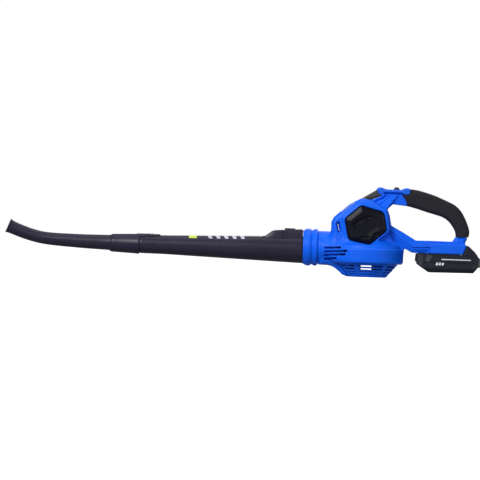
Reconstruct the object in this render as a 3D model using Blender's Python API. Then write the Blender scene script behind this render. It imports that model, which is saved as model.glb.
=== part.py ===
# Cordless leaf blower: two-piece body shell, fan and motor, blow tube, nozzle, grip and slide-on battery.
# Frame: origin on the fan axis, at the flat bottom of the intake guard. +X runs towards the battery,
# -X towards the nozzle, +Z is up. All dimensions below are millimetres; meshes are scaled to metres.
import math

import bmesh
import bpy
from mathutils import Vector

# ------------------------------------------------------------------ driving dimensions (mm)
GAP = 0.35            # clearance between separate pieces
WALL = 2.6            # shell wall
BODY_W = 34.0         # half width of the motor housing
STRUT_W = 16.3        # half width of the front strut and of the grip
PANEL_W = 13.6        # half width of the panel behind the strut
CORE_W = 13.3         # half width of the handle core under the soft sleeve
ARM_W = 21.0          # half width of the lower arm
FOOT_W = 38.5         # half width of the battery foot
BATT_W = 37.5         # half width of the battery
DRUM_R = 66.8         # fan drum
DUCT_R, DUCT_Z = 29.85, 50.4
TUBE_Z = 45.2         # blow tube axis
GUARD_R0, GUARD_R1, GUARD_H = 37.4, 56.6, 24.1
FAN_R = 50.0
CELL_R, CELL_L = 9.1, 65.0

BODY = [(-64.0, 46.0), (-65.2, 97.0), (-61.0, 105.3), (-48.8, 116.6), (-33.1, 130.6), (-11.9, 141.2),
        (6.3, 138.4), (28.6, 118.5), (39.7, 111.7), (42.1, 94.7), (38.6, 84.2), (8.6, 57.4), (8.0, 46.0)]
WEB = [(0.0, 84.0), (30.0, 84.0), (42.0, 74.0), (47.5, 65.6), (68.2, 54.6), (66.0, 50.0), (0.0, 50.0)]
FRAME = [(-47.2, 106.7), (-13.8, 135.8), (32.8, 123.3), (38.6, 83.2), (5.6, 55.6), (-38.8, 64.0)]
HEX = [(-40.2, 103.4), (-12.3, 127.8), (28.3, 117.0), (34.9, 84.5), (4.7, 59.4), (-32.5, 66.4)]
STRUT = [(-10.0, 124.0), (-8.0, 138.0), (-2.7, 137.6), (8.2, 140.2), (22.8, 146.6), (22.4, 150.9),
         (54.8, 150.9), (28.6, 118.5), (10.0, 112.0)]
PANEL = [(24.0, 118.0), (30.0, 150.9), (58.7, 150.9), (68.4, 130.6), (44.3, 132.8),
         (43.1, 132.0), (34.7, 123.6), (36.0, 117.0), (30.0, 112.0)]
ARM = [(18.0, 84.0), (42.1, 94.7), (64.1, 82.9), (87.5, 69.3), (113.3, 69.7), (153.0, 69.5), (158.4, 77.4),
       (181.0, 77.2), (175.9, 68.2), (175.8, 62.0), (171.0, 47.0), (114.1, 47.0), (81.6, 47.2),
       (67.9, 54.2), (33.0, 72.7)]
FOOT = [(114.0, 64.3), (178.8, 64.2), (172.1, 46.9), (114.0, 46.9)]
GRIP_TOP = [(75.4, 161.2), (88.3, 159.8), (102.3, 156.3), (119.8, 151.0), (137.2, 143.9), (154.8, 135.9),
            (165.4, 126.7), (173.4, 114.8), (180.2, 99.7), (183.3, 89.0), (182.7, 80.9), (181.1, 77.8)]
GRIP_BOT = [(59.4, 150.3), (69.3, 130.3), (86.1, 126.4), (103.6, 121.2), (121.1, 116.5), (134.2, 112.5),
            (144.9, 105.6), (153.4, 95.1), (158.1, 85.4), (158.6, 77.9)]
PAD = [(-12.2, 141.8), (-2.7, 138.1), (8.0, 140.8), (22.0, 147.0), (16.4, 150.3), (13.0, 157.4)]
BEZEL = [(13.9, 157.5), (14.6, 161.0), (21.6, 162.9), (28.0, 159.9), (43.3, 159.3), (59.5, 159.6),
         (63.0, 162.1), (72.0, 162.8), (74.8, 159.8), (74.2, 152.0), (63.5, 150.8), (58.0, 151.5),
         (22.0, 151.4), (17.3, 150.9)]
BATT = [(88.9, 46.5), (87.4, 34.2), (91.4, 26.8), (112.5, 12.8), (192.0, 13.9), (199.6, 23.5),
        (201.5, 41.4), (193.7, 52.0), (179.7, 64.4), (172.8, 46.5)]
STRAP = [(-55.6, 94.4), (-53.0, 97.0), (-48.9, 81.4), (-51.9, 79.8)]
FAIR = [(-82.0, 25.5), (-82.0, 21.4), (-68.7, 20.7), (-54.0, 13.7), (-44.7, 5.0), (-39.2, 1.6),
        (-20.0, 1.6), (-20.0, 25.5)]
SCREWS = [(-50.0, 105.0), (14.0, 132.0), (57.6, 139.6), (166.0, 71.5), (68.0, 73.0), (98.0, 63.2)]
SIDE_VENTS = [(49.5, -76.9, -48.1), (42.8, -76.7, -37.3), (36.9, -76.5, -39.6), (30.8, -76.2, -44.7)]

# ------------------------------------------------------------------ start from nothing
for ob in list(bpy.data.objects):
    bpy.data.objects.remove(ob)
COL = bpy.context.scene.collection


# ------------------------------------------------------------------ solid helpers
def solid(verts, faces):
    me = bpy.data.meshes.new("tmp")
    me.from_pydata([tuple(v) for v in verts], [], faces)
    bm = bmesh.new()
    bm.from_mesh(me)
    bmesh.ops.recalc_face_normals(bm, faces=bm.faces)
    bm.to_mesh(me)
    bm.free()
    ob = bpy.data.objects.new("tmp", me)
    COL.objects.link(ob)
    return ob


def loft(rings, wrap=False):
    n = len(rings[0])
    verts = [v for r in rings for v in r]
    faces = []
    pairs = [(i, i + 1) for i in range(len(rings) - 1)]
    if wrap:
        pairs.append((len(rings) - 1, 0))
    for a, b in pairs:
        for k in range(n):
            k2 = (k + 1) % n
            faces.append((a * n + k, a * n + k2, b * n + k2, b * n + k))
    if not wrap:
        faces.append(tuple(range(n)))
        faces.append(tuple(range((len(rings) - 1) * n, len(rings) * n)))
    return solid(verts, faces)


def area(poly):
    return 0.5 * sum(poly[i][0] * poly[(i + 1) % len(poly)][1] - poly[(i + 1) % len(poly)][0] * poly[i][1]
                     for i in range(len(poly)))


def inset(poly, d):
    """Mitred inward offset of a closed polygon."""
    s = 1.0 if area(poly) > 0 else -1.0
    out = []
    n = len(poly)
    for i in range(n):
        p0, p1, p2 = Vector(poly[i - 1]), Vector(poly[i]), Vector(poly[(i + 1) % n])
        e0, e1 = (p1 - p0).normalized(), (p2 - p1).normalized()
        n0, n1 = Vector((-e0.y, e0.x)) * s, Vector((-e1.y, e1.x)) * s
        m = n0 + n1
        k = m.length_squared
        m = m * (2.0 / k) if k > 0.3 else n0
        out.append(tuple(p1 + m * d))
    return out


def shift_line(pts, d):
    """Offset of an open polyline by d to its left."""
    out = []
    n = len(pts)
    for i in range(n):
        p = Vector(pts[i])
        e0 = (p - Vector(pts[i - 1])).normalized() if i else None
        e1 = (Vector(pts[i + 1]) - p).normalized() if i < n - 1 else None
        e0 = e0 or e1
        e1 = e1 or e0
        n0, n1 = Vector((-e0.y, e0.x)), Vector((-e1.y, e1.x))
        m = (n0 + n1) * (2.0 / (n0 + n1).length_squared)
        out.append(tuple(p + m * d))
    return out


def slab(poly, w, c=0.0):
    """Side-view polygon (x, z) given the half width w, its rim chamfered by c."""
    if c <= 0:
        return loft([[(x, y, z) for x, z in poly] for y in (-w, w)])
    ins = inset(poly, c)
    return loft([[(x, -w, z) for x, z in ins], [(x, -w + c, z) for x, z in poly],
                 [(x, w - c, z) for x, z in poly], [(x, w, z) for x, z in ins]])


def prism_y(poly, y0, y1):
    return loft([[(x, y, z) for x, z in poly] for y in (y0, y1)])


def box(x0, x1, y0, y1, z0, z1):
    return prism_y([(x0, z0), (x1, z0), (x1, z1), (x0, z1)], y0, y1)


def place(r, h, a, axis, c):
    s, t = r * math.cos(a), r * math.sin(a)
    if axis == "Z":
        return (c[0] + s, c[1] + t, h)
    if axis == "X":
        return (h, c[0] + s, c[1] + t)
    return (c[0] + s, h, c[1] + t)


def turned(profile, segs=32, axis="Z", c=(0.0, 0.0), ring=False, phase=0.0):
    """Turned solid. profile: (radius, height) points; ring=True closes the profile on itself."""
    rings = [[place(max(r, 0.0), h, phase + 2 * math.pi * k / segs, axis, c) for k in range(segs)]
             for r, h in profile if r > 1e-6]
    if ring:
        return loft(rings, wrap=True)
    return loft(rings)


def cyl(r, h0, h1, axis="Z", c=(0.0, 0.0), segs=32):
    return turned([(r, h0), (r, h1)], segs, axis, c)


def pipe(path, segs=24):
    """Hollow tube along an (x, z, r_out, r_in) path in the XZ plane, open at both ends."""
    n = len(path)
    outer, inner = [], []
    for i, (x, z, ro, ri) in enumerate(path):
        a, b = path[max(i - 1, 0)], path[min(i + 1, n - 1)]
        t = Vector((b[0] - a[0], 0, b[1] - a[1])).normalized()
        nv = Vector((-t.z, 0, t.x))
        for r, dst in ((ro, outer), (ri, inner)):
            dst.append([Vector((x, 0, z)) + nv * (r * math.sin(2 * math.pi * k / segs))
                        + Vector((0, 1, 0)) * (r * math.cos(2 * math.pi * k / segs)) for k in range(segs)])
    return loft(outer + inner[::-1], wrap=True)


def rod(points, r, segs=6, sub=3):
    """Solid round lead along a smooth curve through the points."""
    pts = [Vector(p) for p in points]
    pts = [pts[0] * 2 - pts[1]] + pts + [pts[-1] * 2 - pts[-2]]
    line = []
    for i in range(1, len(pts) - 2):
        p0, p1, p2, p3 = pts[i - 1:i + 3]
        for s in range(sub):
            t = s / sub
            line.append(0.5 * ((2 * p1) + (p2 - p0) * t + (2 * p0 - 5 * p1 + 4 * p2 - p3) * t * t
                               + (3 * p1 - p0 - 3 * p2 + p3) * t ** 3))
    line.append(pts[-2])
    rings = []
    up = Vector((0, 1, 0))
    for i, p in enumerate(line):
        t = (line[min(i + 1, len(line) - 1)] - line[max(i - 1, 0)]).normalized()
        u = (up - t * up.dot(t)).normalized()
        v = t.cross(u)
        up = u
        rings.append([p + u * (r * math.cos(2 * math.pi * k / segs)) + v * (r * math.sin(2 * math.pi * k / segs))
                      for k in range(segs)])
    return loft(rings)


def hull(rings):
    bm = bmesh.new()
    for ring in rings:
        for v in ring:
            bm.verts.new(v)
    out = bmesh.ops.convex_hull(bm, input=bm.verts)
    junk = [g for g in set(out["geom_interior"]) | set(out["geom_unused"]) if isinstance(g, bmesh.types.BMVert)]
    bmesh.ops.delete(bm, geom=junk, context="VERTS")
    bmesh.ops.dissolve_limit(bm, angle_limit=math.radians(0.5), verts=bm.verts, edges=bm.edges)
    bmesh.ops.recalc_face_normals(bm, faces=bm.faces)
    me = bpy.data.meshes.new("tmp")
    bm.to_mesh(me)
    bm.free()
    ob = bpy.data.objects.new("tmp", me)
    COL.objects.link(ob)
    return ob


def boolean(a, b, op):
    mod = a.modifiers.new("b", "BOOLEAN")
    mod.operation = op
    mod.solver = "EXACT"
    mod.object = b
    dg = bpy.context.evaluated_depsgraph_get()
    me = bpy.data.meshes.new_from_object(a.evaluated_get(dg))
    a.modifiers.clear()
    old = a.data
    a.data = me
    bpy.data.meshes.remove(old)
    bpy.data.objects.remove(b)
    return a


def join(a, *others):
    for b in others:
        boolean(a, b, "UNION")
    return a


def cut(a, *others):
    for b in others:
        boolean(a, b, "DIFFERENCE")
    return a


def keep(a, b):
    return boolean(a, b, "INTERSECT")


def copy(ob):
    c = ob.copy()
    c.data = ob.data.copy()
    COL.objects.link(c)
    return c


MATS = {}


def material(name, rgb, rough, metal=0.0):
    if name not in MATS:
        m = bpy.data.materials.new(name)
        m.use_nodes = True
        b = m.node_tree.nodes["Principled BSDF"]
        b.inputs["Base Color"].default_value = (*rgb, 1.0)
        b.inputs["Roughness"].default_value = rough
        b.inputs["Metallic"].default_value = metal
        m.diffuse_color = (*rgb, 1.0)
        MATS[name] = m
    return MATS[name]


BLUE = ("blue_plastic", (0.008, 0.115, 0.82), 0.35)
CHAR = ("charcoal_plastic", (0.022, 0.021, 0.028), 0.4)
BLACK = ("black_plastic", (0.012, 0.012, 0.014), 0.45)
RUB = ("black_rubber", (0.014, 0.014, 0.015), 0.8)
GREY = ("grey_plastic", (0.25, 0.26, 0.28), 0.5)
STEEL = ("steel", (0.55, 0.55, 0.56), 0.3, 1.0)
ALU = ("aluminium", (0.75, 0.76, 0.77), 0.35, 1.0)
COPPER = ("copper", (0.8, 0.38, 0.2), 0.3, 1.0)
BRASS = ("brass", (0.75, 0.56, 0.25), 0.3, 1.0)
WHITE = ("white_nylon", (0.7, 0.7, 0.68), 0.5)
GREEN = ("green_board", (0.02, 0.2, 0.07), 0.5)
REDW = ("red_lead", (0.6, 0.02, 0.02), 0.5)
BLKW = ("black_lead", (0.02, 0.02, 0.02), 0.5)
CELLB = ("cell_wrap", (0.05, 0.3, 0.25), 0.4)
MAGN = ("magnet", (0.12, 0.12, 0.13), 0.5)


def piece(name, ob, mat, origin=(0.0, 0.0, 0.0), angle=35.0):
    """Give the finished solid its node name and material, clean it and scale it to metres."""
    bm = bmesh.new()
    bm.from_mesh(ob.data)
    bmesh.ops.remove_doubles(bm, verts=bm.verts, dist=0.0008)
    bmesh.ops.dissolve_degenerate(bm, edges=bm.edges, dist=0.0008)
    bmesh.ops.dissolve_limit(bm, angle_limit=math.radians(0.2), verts=bm.verts, edges=bm.edges)
    for v in bm.verts:
        v.co = (v.co - Vector(origin)) * 0.001
    bm.to_mesh(ob.data)
    bm.free()
    ob.location = Vector(origin) * 0.001
    ob.name = name
    ob.data.name = name
    ob.data.materials.clear()
    ob.data.materials.append(material(*mat))
    ob.data.shade_smooth()
    ob.data.set_sharp_from_angle(angle=math.radians(angle))
    return ob


def circle(r, z, segs=36, c=(0.0, 0.0)):
    return [(c[0] + r * math.cos(2 * math.pi * k / segs), c[1] + r * math.sin(2 * math.pi * k / segs), z)
            for k in range(segs)]


def xcircle(r, x, z, segs=28):
    return [(x, r * math.cos(2 * math.pi * k / segs), z + r * math.sin(2 * math.pi * k / segs))
            for k in range(segs)]


# ------------------------------------------------------------------ body shell (two halves)
def drum(d):
    """Fan drum, its domed shoulder and the fairing that draws it in to the round duct."""
    return hull([circle(62.6 - d, 24.5 + d), circle(65.6 - d, 28.6 + d * 0.6), circle(DRUM_R - d, 49.6 - d * 0.3),
                 circle(62.0 - d, 56.5 - d), circle(34.0 - d, 70.0 - d),
                 xcircle(DUCT_R - d, -82.0, DUCT_Z)])


def handle_core(d, w, c):
    top = shift_line(GRIP_TOP, -3.4 - d)
    bot = shift_line(GRIP_BOT[1:], 3.4 + d)
    poly = ([(40.0, 147.2 - d), (66.0, 146.6 - d), (76.4, 147.4 - d)] + [(80.2 + d, 157.0 - d)] + top[1:]
            + [(top[-1][0] - 1.2, 72.0), (bot[-1][0] + 0.2, 72.0)] + bot[::-1]
            + [(62.0, 136.4 + d), (44.0, 137.0 + d)])
    return slab(poly, w, c)


outer = drum(0.0)
join(outer, cyl(DUCT_R, -88.0, -70.0, "X", (0.0, DUCT_Z), 28))
join(outer, slab(BODY, BODY_W, 7.0))
join(outer, slab(STRUT, STRUT_W, 4.0), slab(PANEL, PANEL_W, 2.5))
join(outer, handle_core(0.0, CORE_W, 3.0))
join(outer, slab(ARM, ARM_W, 4.0), slab(FOOT, FOOT_W, 3.0))
join(outer, slab([(152.9, 60.0), (153.2, 69.4), (158.3, 77.5), (181.1, 77.3), (176.0, 68.2), (175.9, 60.0)], STRUT_W, 2.0))
join(outer, slab(FAIR, 23.0))
join(outer, prism_y(FRAME, -37.0, 37.0))
join(outer, slab(WEB, 26.5, 2.5))

inner = drum(WALL)
join(inner, cyl(DUCT_R - 2.5, -91.0, -45.0, "X", (0.0, DUCT_Z), 28))
join(inner, slab(inset(BODY, WALL), BODY_W - WALL, 5.5))
join(inner, slab(inset(WEB, 2.5), 24.0, 1.5))
join(inner, slab(inset(STRUT, 2.5), STRUT_W - 2.5, 2.5), slab(inset(PANEL, 2.5), PANEL_W - 2.4, 1.5))
join(inner, handle_core(2.4, CORE_W - 2.4, 1.5))
join(inner, slab(inset(ARM, 2.5), ARM_W - 2.5, 2.5))
foot_in = slab(inset(FOOT, 2.5), FOOT_W - 2.5, 1.5)
join(inner, foot_in)

shell = cut(outer, inner)
# bosses for the assembly screws, the strap tunnel and the battery rail channel
for sx, sz in SCREWS:
    w = {-50.0: 31.0, 14.0: 14.5, 57.6: 12.0, 166.0: 14.5, 68.0: 19.0, 98.0: 19.0}[sx]
    join(shell, cyl(4.7, -w, w, "Y", (sx, sz), 12))
join(shell, prism_y(inset(STRAP, -2.2), -32.5, 32.5))
join(shell, box(113.0, 171.5, -26.4, 26.4, 48.0, 57.0))
for sx, sz in SCREWS:
    cut(shell, join(cyl(1.95, -9.6, 8.0, "Y", (sx, sz), 10), cyl(3.8, 7.1, 60.0, "Y", (sx, sz), 10)))
cut(shell, prism_y(STRAP, -60.0, 60.0))
cut(shell, prism_y(inset(PAD, -GAP), -STRUT_W - 0.8, STRUT_W + 0.8))   # seat of the soft pad
cut(shell, box(115.7, 190.0, -19.5, 19.5, 40.0, 50.4), box(115.7, 190.0, -24.0, 24.0, 49.9, 54.5))
cut(shell, box(110.0, 118.0, -14.5, 14.5, 50.9, 57.0))          # window for the terminal block
cut(shell, prism_y(inset(HEX, -1.3), -60.0, 60.0))              # seats of the two hexagonal covers
# screw bosses and strap tunnel stay whole because they lie outside the hexagon
slot_poly = box(33.5, 53.2, -3.2, 3.2, 140.0, 153.0)
cut(shell, slot_poly)                                            # slot for the slider's stem
for z, x0, x1 in SIDE_VENTS:                                     # side vents, pointed ends
    p = [(x0, z), (x0 + 2.0, z - 1.75), (x1 - 2.0, z - 1.75), (x1, z), (x1 - 2.0, z + 1.75), (x0 + 2.0, z + 1.75)]
    cut(shell, prism_y(p, -80.0, -31.0), prism_y(p, 31.0, 80.0))
for i in range(7):                                               # cooling vents in the sloping front
    t = (i + 0.6) / 7.4
    x, z = -47.4 + 20.0 * t, 115.6 + 15.5 * t
    dx, dz = 0.62, 0.79
    px, pz = -0.66, 0.75
    q = [(x - 0.75 * dx - 9 * px, z - 0.75 * dz - 9 * pz), (x + 0.75 * dx - 9 * px, z + 0.75 * dz - 9 * pz),
         (x + 0.75 * dx + 9 * px, z + 0.75 * dz + 9 * pz), (x - 0.75 * dx + 9 * px, z - 0.75 * dz + 9 * pz)]
    cut(shell, prism_y(q, -19.0, -2.5), prism_y(q, 2.5, 19.0))
# seat of the intake guard
cut(shell, turned([(GUARD_R0 + 0.6, -2.0), (GUARD_R0 + 0.6, 1.0), (GUARD_R1 + 0.6, 23.5), (GUARD_R1 + 0.6, 24.45), (55.1, 24.5), (55.1, 40.0)], 36))
left = keep(copy(shell), box(-200.0, 260.0, -80.0, -0.17, -20.0, 200.0))
right = keep(shell, box(-200.0, 260.0, 0.17, 80.0, -20.0, 200.0))
piece("housing_left", left, BLUE)
piece("housing_right", right, BLUE)

# ------------------------------------------------------------------ outlet collar
collar = turned([(30.6, -115.0), (30.6, -111.5), (33.5, -111.2), (33.5, -102.8), (30.6, -102.5), (30.6, -96.5),
                 (33.0, -96.2), (33.0, -88.9), (31.0, -88.4), (26.9, -88.35), (26.9, -80.0)], 28, "X", (0.0, DUCT_Z))
cut(collar, cyl(24.5, -120.0, -92.0, "X", (0.0, TUBE_Z), 24), cyl(24.2, -93.0, -70.0, "X", (0.0, DUCT_Z), 24))
cut(collar, box(-120.0, -104.0, -5.5, 5.5, 66.0, 79.2))
piece("outlet_collar", collar, BLUE)

# ------------------------------------------------------------------ intake guard
guard = turned([(GUARD_R0 - 1.4, 0.0), (GUARD_R0, 1.2), (GUARD_R1, 23.7), (GUARD_R1 - 0.3, GUARD_H), (54.7, GUARD_H),
                (54.7, 27.1), (58.4, 27.1), (58.4, 28.7), (52.4, 28.7), (52.4, 23.0), (GUARD_R0 - 2.4, 2.4)], 36)
for z, h in ((19.9, 3.1), (14.7, 2.9), (9.6, 2.8), (4.9, 2.3)):
    blade = []
    for k in range(6):
        a0, a1 = 60.0 * k + 9.0, 60.0 * (k + 1) + 9.0
        r = GUARD_R0 + (GUARD_R1 - GUARD_R0) * z / 24.0
        da = math.degrees(3.0 / r)
        a0, a1 = a0 + da, a1 - da
        if k == 2:
            a1 = min(a1, 180.0 - math.degrees(math.asin(25.5 / r)))
        if k == 3:
            a0 = max(a0, 180.0 + math.degrees(math.asin(25.5 / r)))
        n = 5
        angs = [math.radians(a0 + (a1 - a0) * i / (n - 1)) for i in range(n)]
        r_in = r - 7.5 if z > 5 else r - 3.4
        rings = []
        for a in angs:
            rings.append([(rr * math.cos(a), rr * math.sin(a), zz) for rr, zz in
                          ((r_in, z - h / 2), (r + 8.0, z - h / 2), (r + 8.0, z + h / 2), (r_in, z + h / 2))])
        cut(guard, loft(rings))
piece("intake_guard", guard, BLUE)

# ------------------------------------------------------------------ hexagonal side covers
for name, s in (("hex_cover_left", -1), ("hex_cover_right", 1)):
    h = loft([[(x, s * 29.5, z) for x, z in HEX], [(x, s * 36.8, z) for x, z in HEX],
              [(x, s * 38.3, z) for x, z in inset(HEX, 1.6)]])
    cut(h, prism_y(inset(HEX, 2.4), min(s * 28, s * 35.6), max(s * 28, s * 35.6)))
    piece(name, h, BLACK)

# ------------------------------------------------------------------ grip, pad, switch trim and slider
sl_poly = GRIP_TOP + GRIP_BOT[::-1] + [(63.5, 150.3), (74.5, 151.4)]
sleeve = slab(sl_poly, STRUT_W + 0.3, 5.0)
top = shift_line(GRIP_TOP, -3.05)
bot = shift_line(GRIP_BOT[1:], 3.05)
hole = ([(30.0, 147.6), (66.0, 146.95), (75.9, 147.95), (79.6, 157.5)] + top[1:]
        + [(top[-1][0] - 1.0, 60.0), (bot[-1][0] - 0.1, 60.0)] + bot[::-1] + [(62.0, 136.0), (30.0, 134.0)])
cut(sleeve, slab(hole, CORE_W + GAP, 3.0))
piece("grip_sleeve", sleeve, RUB)
piece("front_grip_pad", slab(PAD, STRUT_W + 0.3, 3.0), RUB)

bez = slab(BEZEL, 15.8, 2.2)
cut(bez, box(33.5, 54.8, -3.2, 3.2, 145.0, 170.0))
cut(bez, box(29.5, 58.5, -9.5, 9.5, 158.2, 170.0))
piece("switch_bezel", bez, BLUE)
sw = slab([(44.2, 158.6), (45.0, 161.6), (46.8, 163.4), (49.8, 163.9), (53.0, 163.4), (54.8, 161.4), (55.4, 158.6)], 7.6, 1.4)
join(sw, box(47.0, 52.0, -2.7, 2.7, 148.3, 160.0))
piece("power_switch", sw, BLACK, (49.8, 0.0, 159.0))
piece("switch_body", slab([(33.0, 137.6), (51.4, 137.6), (51.4, 147.4), (33.0, 147.4)], 8.0, 0.6), GREY)

# ------------------------------------------------------------------ blow tube and its latch
TUBE = [(-92.5, 24.0, 22.0), (-115.5, 24.0, 22.2), (-116.0, 24.35, 22.3), (-150.0, 23.4, 21.3), (-183.9, 22.45, 20.4),
        (-228.8, 21.15, 19.1), (-300.8, 19.0, 17.0), (-363.8, 17.1, 15.1), (-408.5, 16.7, 14.4),
        (-408.6, 15.8, 14.0), (-455.0, 14.0, 12.2)]
tube = pipe([(x, TUBE_Z, ro, ri) for x, ro, ri in TUBE], 24)
hump = slab([(-184.8, 67.0), (-169.3, 78.3), (-116.4, 82.2), (-116.4, 63.0), (-184.8, 63.0)], 13.0, 2.5)
cut(hump, cyl(22.2, -190.0, -150.0, "X", (0.0, TUBE_Z), 24), turned([(22.2, -151.0), (22.9, -110.0)], 24, "X", (0.0, TUBE_Z)))
join(tube, hump)
cut(tube, box(-149.1, -129.1, -8.4, 8.4, 70.4, 90.0), box(-131.0, -110.0, -5.5, 5.5, 72.6, 79.3))
piece("main_tube", tube, CHAR, (-116.0, 0.0, TUBE_Z))
latch = slab([(-148.7, 76.0), (-148.7, 82.2), (-147.4, 83.1), (-130.8, 83.1), (-129.5, 82.2), (-129.5, 76.0)], 8.0, 0.8)
join(latch, box(-131.0, -106.0, -4.9, 4.9, 76.3, 78.7))
piece("tube_latch_button", latch, CHAR, (-139.1, 0.0, 76.0))
# latch spring
coil, turns, seg = [], 3.0, 10
for i in range(int(turns * seg) + 1):
    a = 2 * math.pi * i / seg
    coil.append((-139.1 + 3.4 * math.cos(a), 3.4 * math.sin(a), 71.1 + (75.2 - 71.1) * i / (turns * seg)))
piece("latch_spring", rod(coil, 0.35, 5, 1), STEEL)

# ------------------------------------------------------------------ nozzle
NOZ = [(-409.0, 45.2, 18.1, 16.15), (-411.5, 45.2, 18.3, 16.1), (-413.0, 45.2, 17.95, 16.0), (-456.0, 45.3, 16.2, 14.4), (-460.5, 45.4, 15.6, 13.6),
       (-463.5, 45.6, 13.7, 12.0), (-485.0, 45.8, 13.2, 11.5), (-507.8, 46.1, 12.65, 10.95),
       (-530.0, 46.8, 12.15, 10.45), (-552.8, 47.6, 11.65, 9.95), (-570.8, 48.7, 11.3, 9.6),
       (-588.5, 50.9, 11.1, 9.4), (-607.0, 55.4, 11.2, 9.5), (-625.0, 61.3, 11.4, 9.7), (-637.5, 66.1, 11.6, 9.9),
       (-643.0, 68.4, 12.3, 10.6), (-646.6, 69.9, 13.1, 11.6)]
noz = pipe(NOZ, 20)
tongue = []
for x, hw in ((-414.0, 12.0), (-400.0, 11.6), (-384.0, 10.0), (-376.0, 8.2), (-372.2, 5.0)):
    ring = []
    m = 5
    for r, order in ((19.0, 1), (17.45, -1)):
        for i in range(m + 1):
            a = math.asin(hw / r) * (2.0 * i / m - 1.0) * order
            ring.append((x, r * math.sin(a), TUBE_Z + r * math.cos(a)))
    tongue.append(ring)
join(noz, loft(tongue))
piece("nozzle", noz, CHAR, (-409.0, 0.0, TUBE_Z))

# ------------------------------------------------------------------ fan, shaft and nut
fan = turned([(7.5, 33.0), (9.5, 34.5), (10.5, 45.0), (12.0, 46.5), (FAN_R, 46.5), (FAN_R, 48.3), (7.5, 48.3)], 36)
for k in range(9):
    a0 = 2 * math.pi * k / 9
    left_e, right_e = [], []
    n = 5
    for i in range(n):
        t = i / (n - 1)
        r = 9.0 + (FAN_R - 1.0 - 9.0) * t
        a = a0 - 0.95 * t
        c = Vector((r * math.cos(a), r * math.sin(a)))
        left_e.append(c)
    pts = []
    for i, c in enumerate(left_e):
        d = (left_e[min(i + 1, n - 1)] - left_e[max(i - 1, 0)]).normalized()
        pts.append((c, Vector((-d.y, d.x))))
    rings = []
    for i, (c, nv) in enumerate(pts):
        z0 = 33.5 if i < 2 else 31.0
        p, q = c + nv * 0.8, c - nv * 0.8
        rings.append([(p.x, p.y, z0), (p.x, p.y, 47.2), (q.x, q.y, 47.2), (q.x, q.y, z0)])
    join(fan, loft(rings))
cut(fan, cyl(2.95, 20.0, 60.0, segs=14))
piece("impeller", fan, BLACK, (0.0, 0.0, 40.0))
piece("motor_shaft", turned([(1.6, 28.5), (2.5, 29.0), (2.5, 118.6), (2.0, 119.2)], 14), STEEL, (0.0, 0.0, 75.0))
nut = turned([(4.2, 28.9), (4.6, 29.4), (4.6, 32.2), (4.2, 32.7)], 6)
cut(nut, cyl(2.95, 20.0, 60.0, segs=14))
piece("impeller_nut", nut, STEEL, (0.0, 0.0, 31.0))

# ------------------------------------------------------------------ fan back plate that carries the motor
plate = turned([(60.0, 50.2), (60.0, 52.2)], 36)
join(plate, box(-83.0, -55.0, -17.0, 17.0, 50.2, 52.2))
join(plate, box(-62.0, -60.2, -24.5, 24.5, 51.0, 61.0))
cut(plate, cyl(11.0, 40.0, 60.0, segs=20))
piece("fan_back_plate", plate, BLACK)

# ------------------------------------------------------------------ motor
can = turned([(23.0, 58.0), (23.0, 114.5), (21.5, 116.0), (8.6, 116.0), (8.6, 114.5), (21.2, 114.5), (21.2, 58.0)], 24, ring=True)
piece("motor_can", can, STEEL)
cap = turned([(22.8, 53.0), (22.8, 57.6), (20.8, 57.6), (20.8, 60.0), (18.8, 60.0), (18.8, 56.0), (8.4, 56.0), (8.4, 59.5),
              (6.9, 59.5), (6.9, 54.0), (4.0, 54.0), (4.0, 53.0)], 24, ring=True)
piece("motor_end_cap", cap, ALU)
piece("lower_bearing", turned([(6.6, 54.4), (6.6, 59.2), (2.95, 59.2), (2.95, 54.4)], 14, ring=True), STEEL)
piece("upper_bearing", turned([(8.3, 111.6), (8.3, 115.8), (2.95, 115.8), (2.95, 111.6)], 14, ring=True), STEEL)
for name, base in (("magnet_left", -math.pi / 2), ("magnet_right", math.pi / 2)):
    rings = []
    for i in range(7):
        a = base + math.radians(-62 + 124 * i / 6)
        rings.append([(r * math.cos(a), r * math.sin(a), z) for r, z in ((17.4, 64.0), (20.6, 64.0), (20.6, 98.0), (17.4, 98.0))])
    piece(name, loft(rings), MAGN)
arm = turned([(5.6, 63.0), (12.0, 63.5), (14.0, 66.0), (16.6, 67.0), (16.6, 95.0), (14.0, 96.0), (12.0, 98.5), (5.6, 99.0),
              (2.95, 99.0), (2.95, 63.0)], 24, ring=True)
for k in range(6):
    a = math.pi * k / 3
    c, s = math.cos(a), math.sin(a)
    poly = [(14.8, -1.2), (18.0, -1.2), (18.0, 1.2), (14.8, 1.2)]
    cut(arm, loft([[(u * c - v * s, u * s + v * c, z) for u, v in poly] for z in (66.3, 95.6)]))
piece("armature", arm, COPPER, (0.0, 0.0, 80.0))
piece("commutator", turned([(8.0, 99.6), (8.0, 109.6), (2.95, 109.6), (2.95, 99.6)], 14, ring=True), COPPER, (0.0, 0.0, 105.0))
for name, s in (("brush_left", -1), ("brush_right", 1)):
    piece(name, box(-2.6, 2.6, min(s * 8.4, s * 18.0), max(s * 8.4, s * 18.0), 102.0, 107.0), MAGN)

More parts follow.
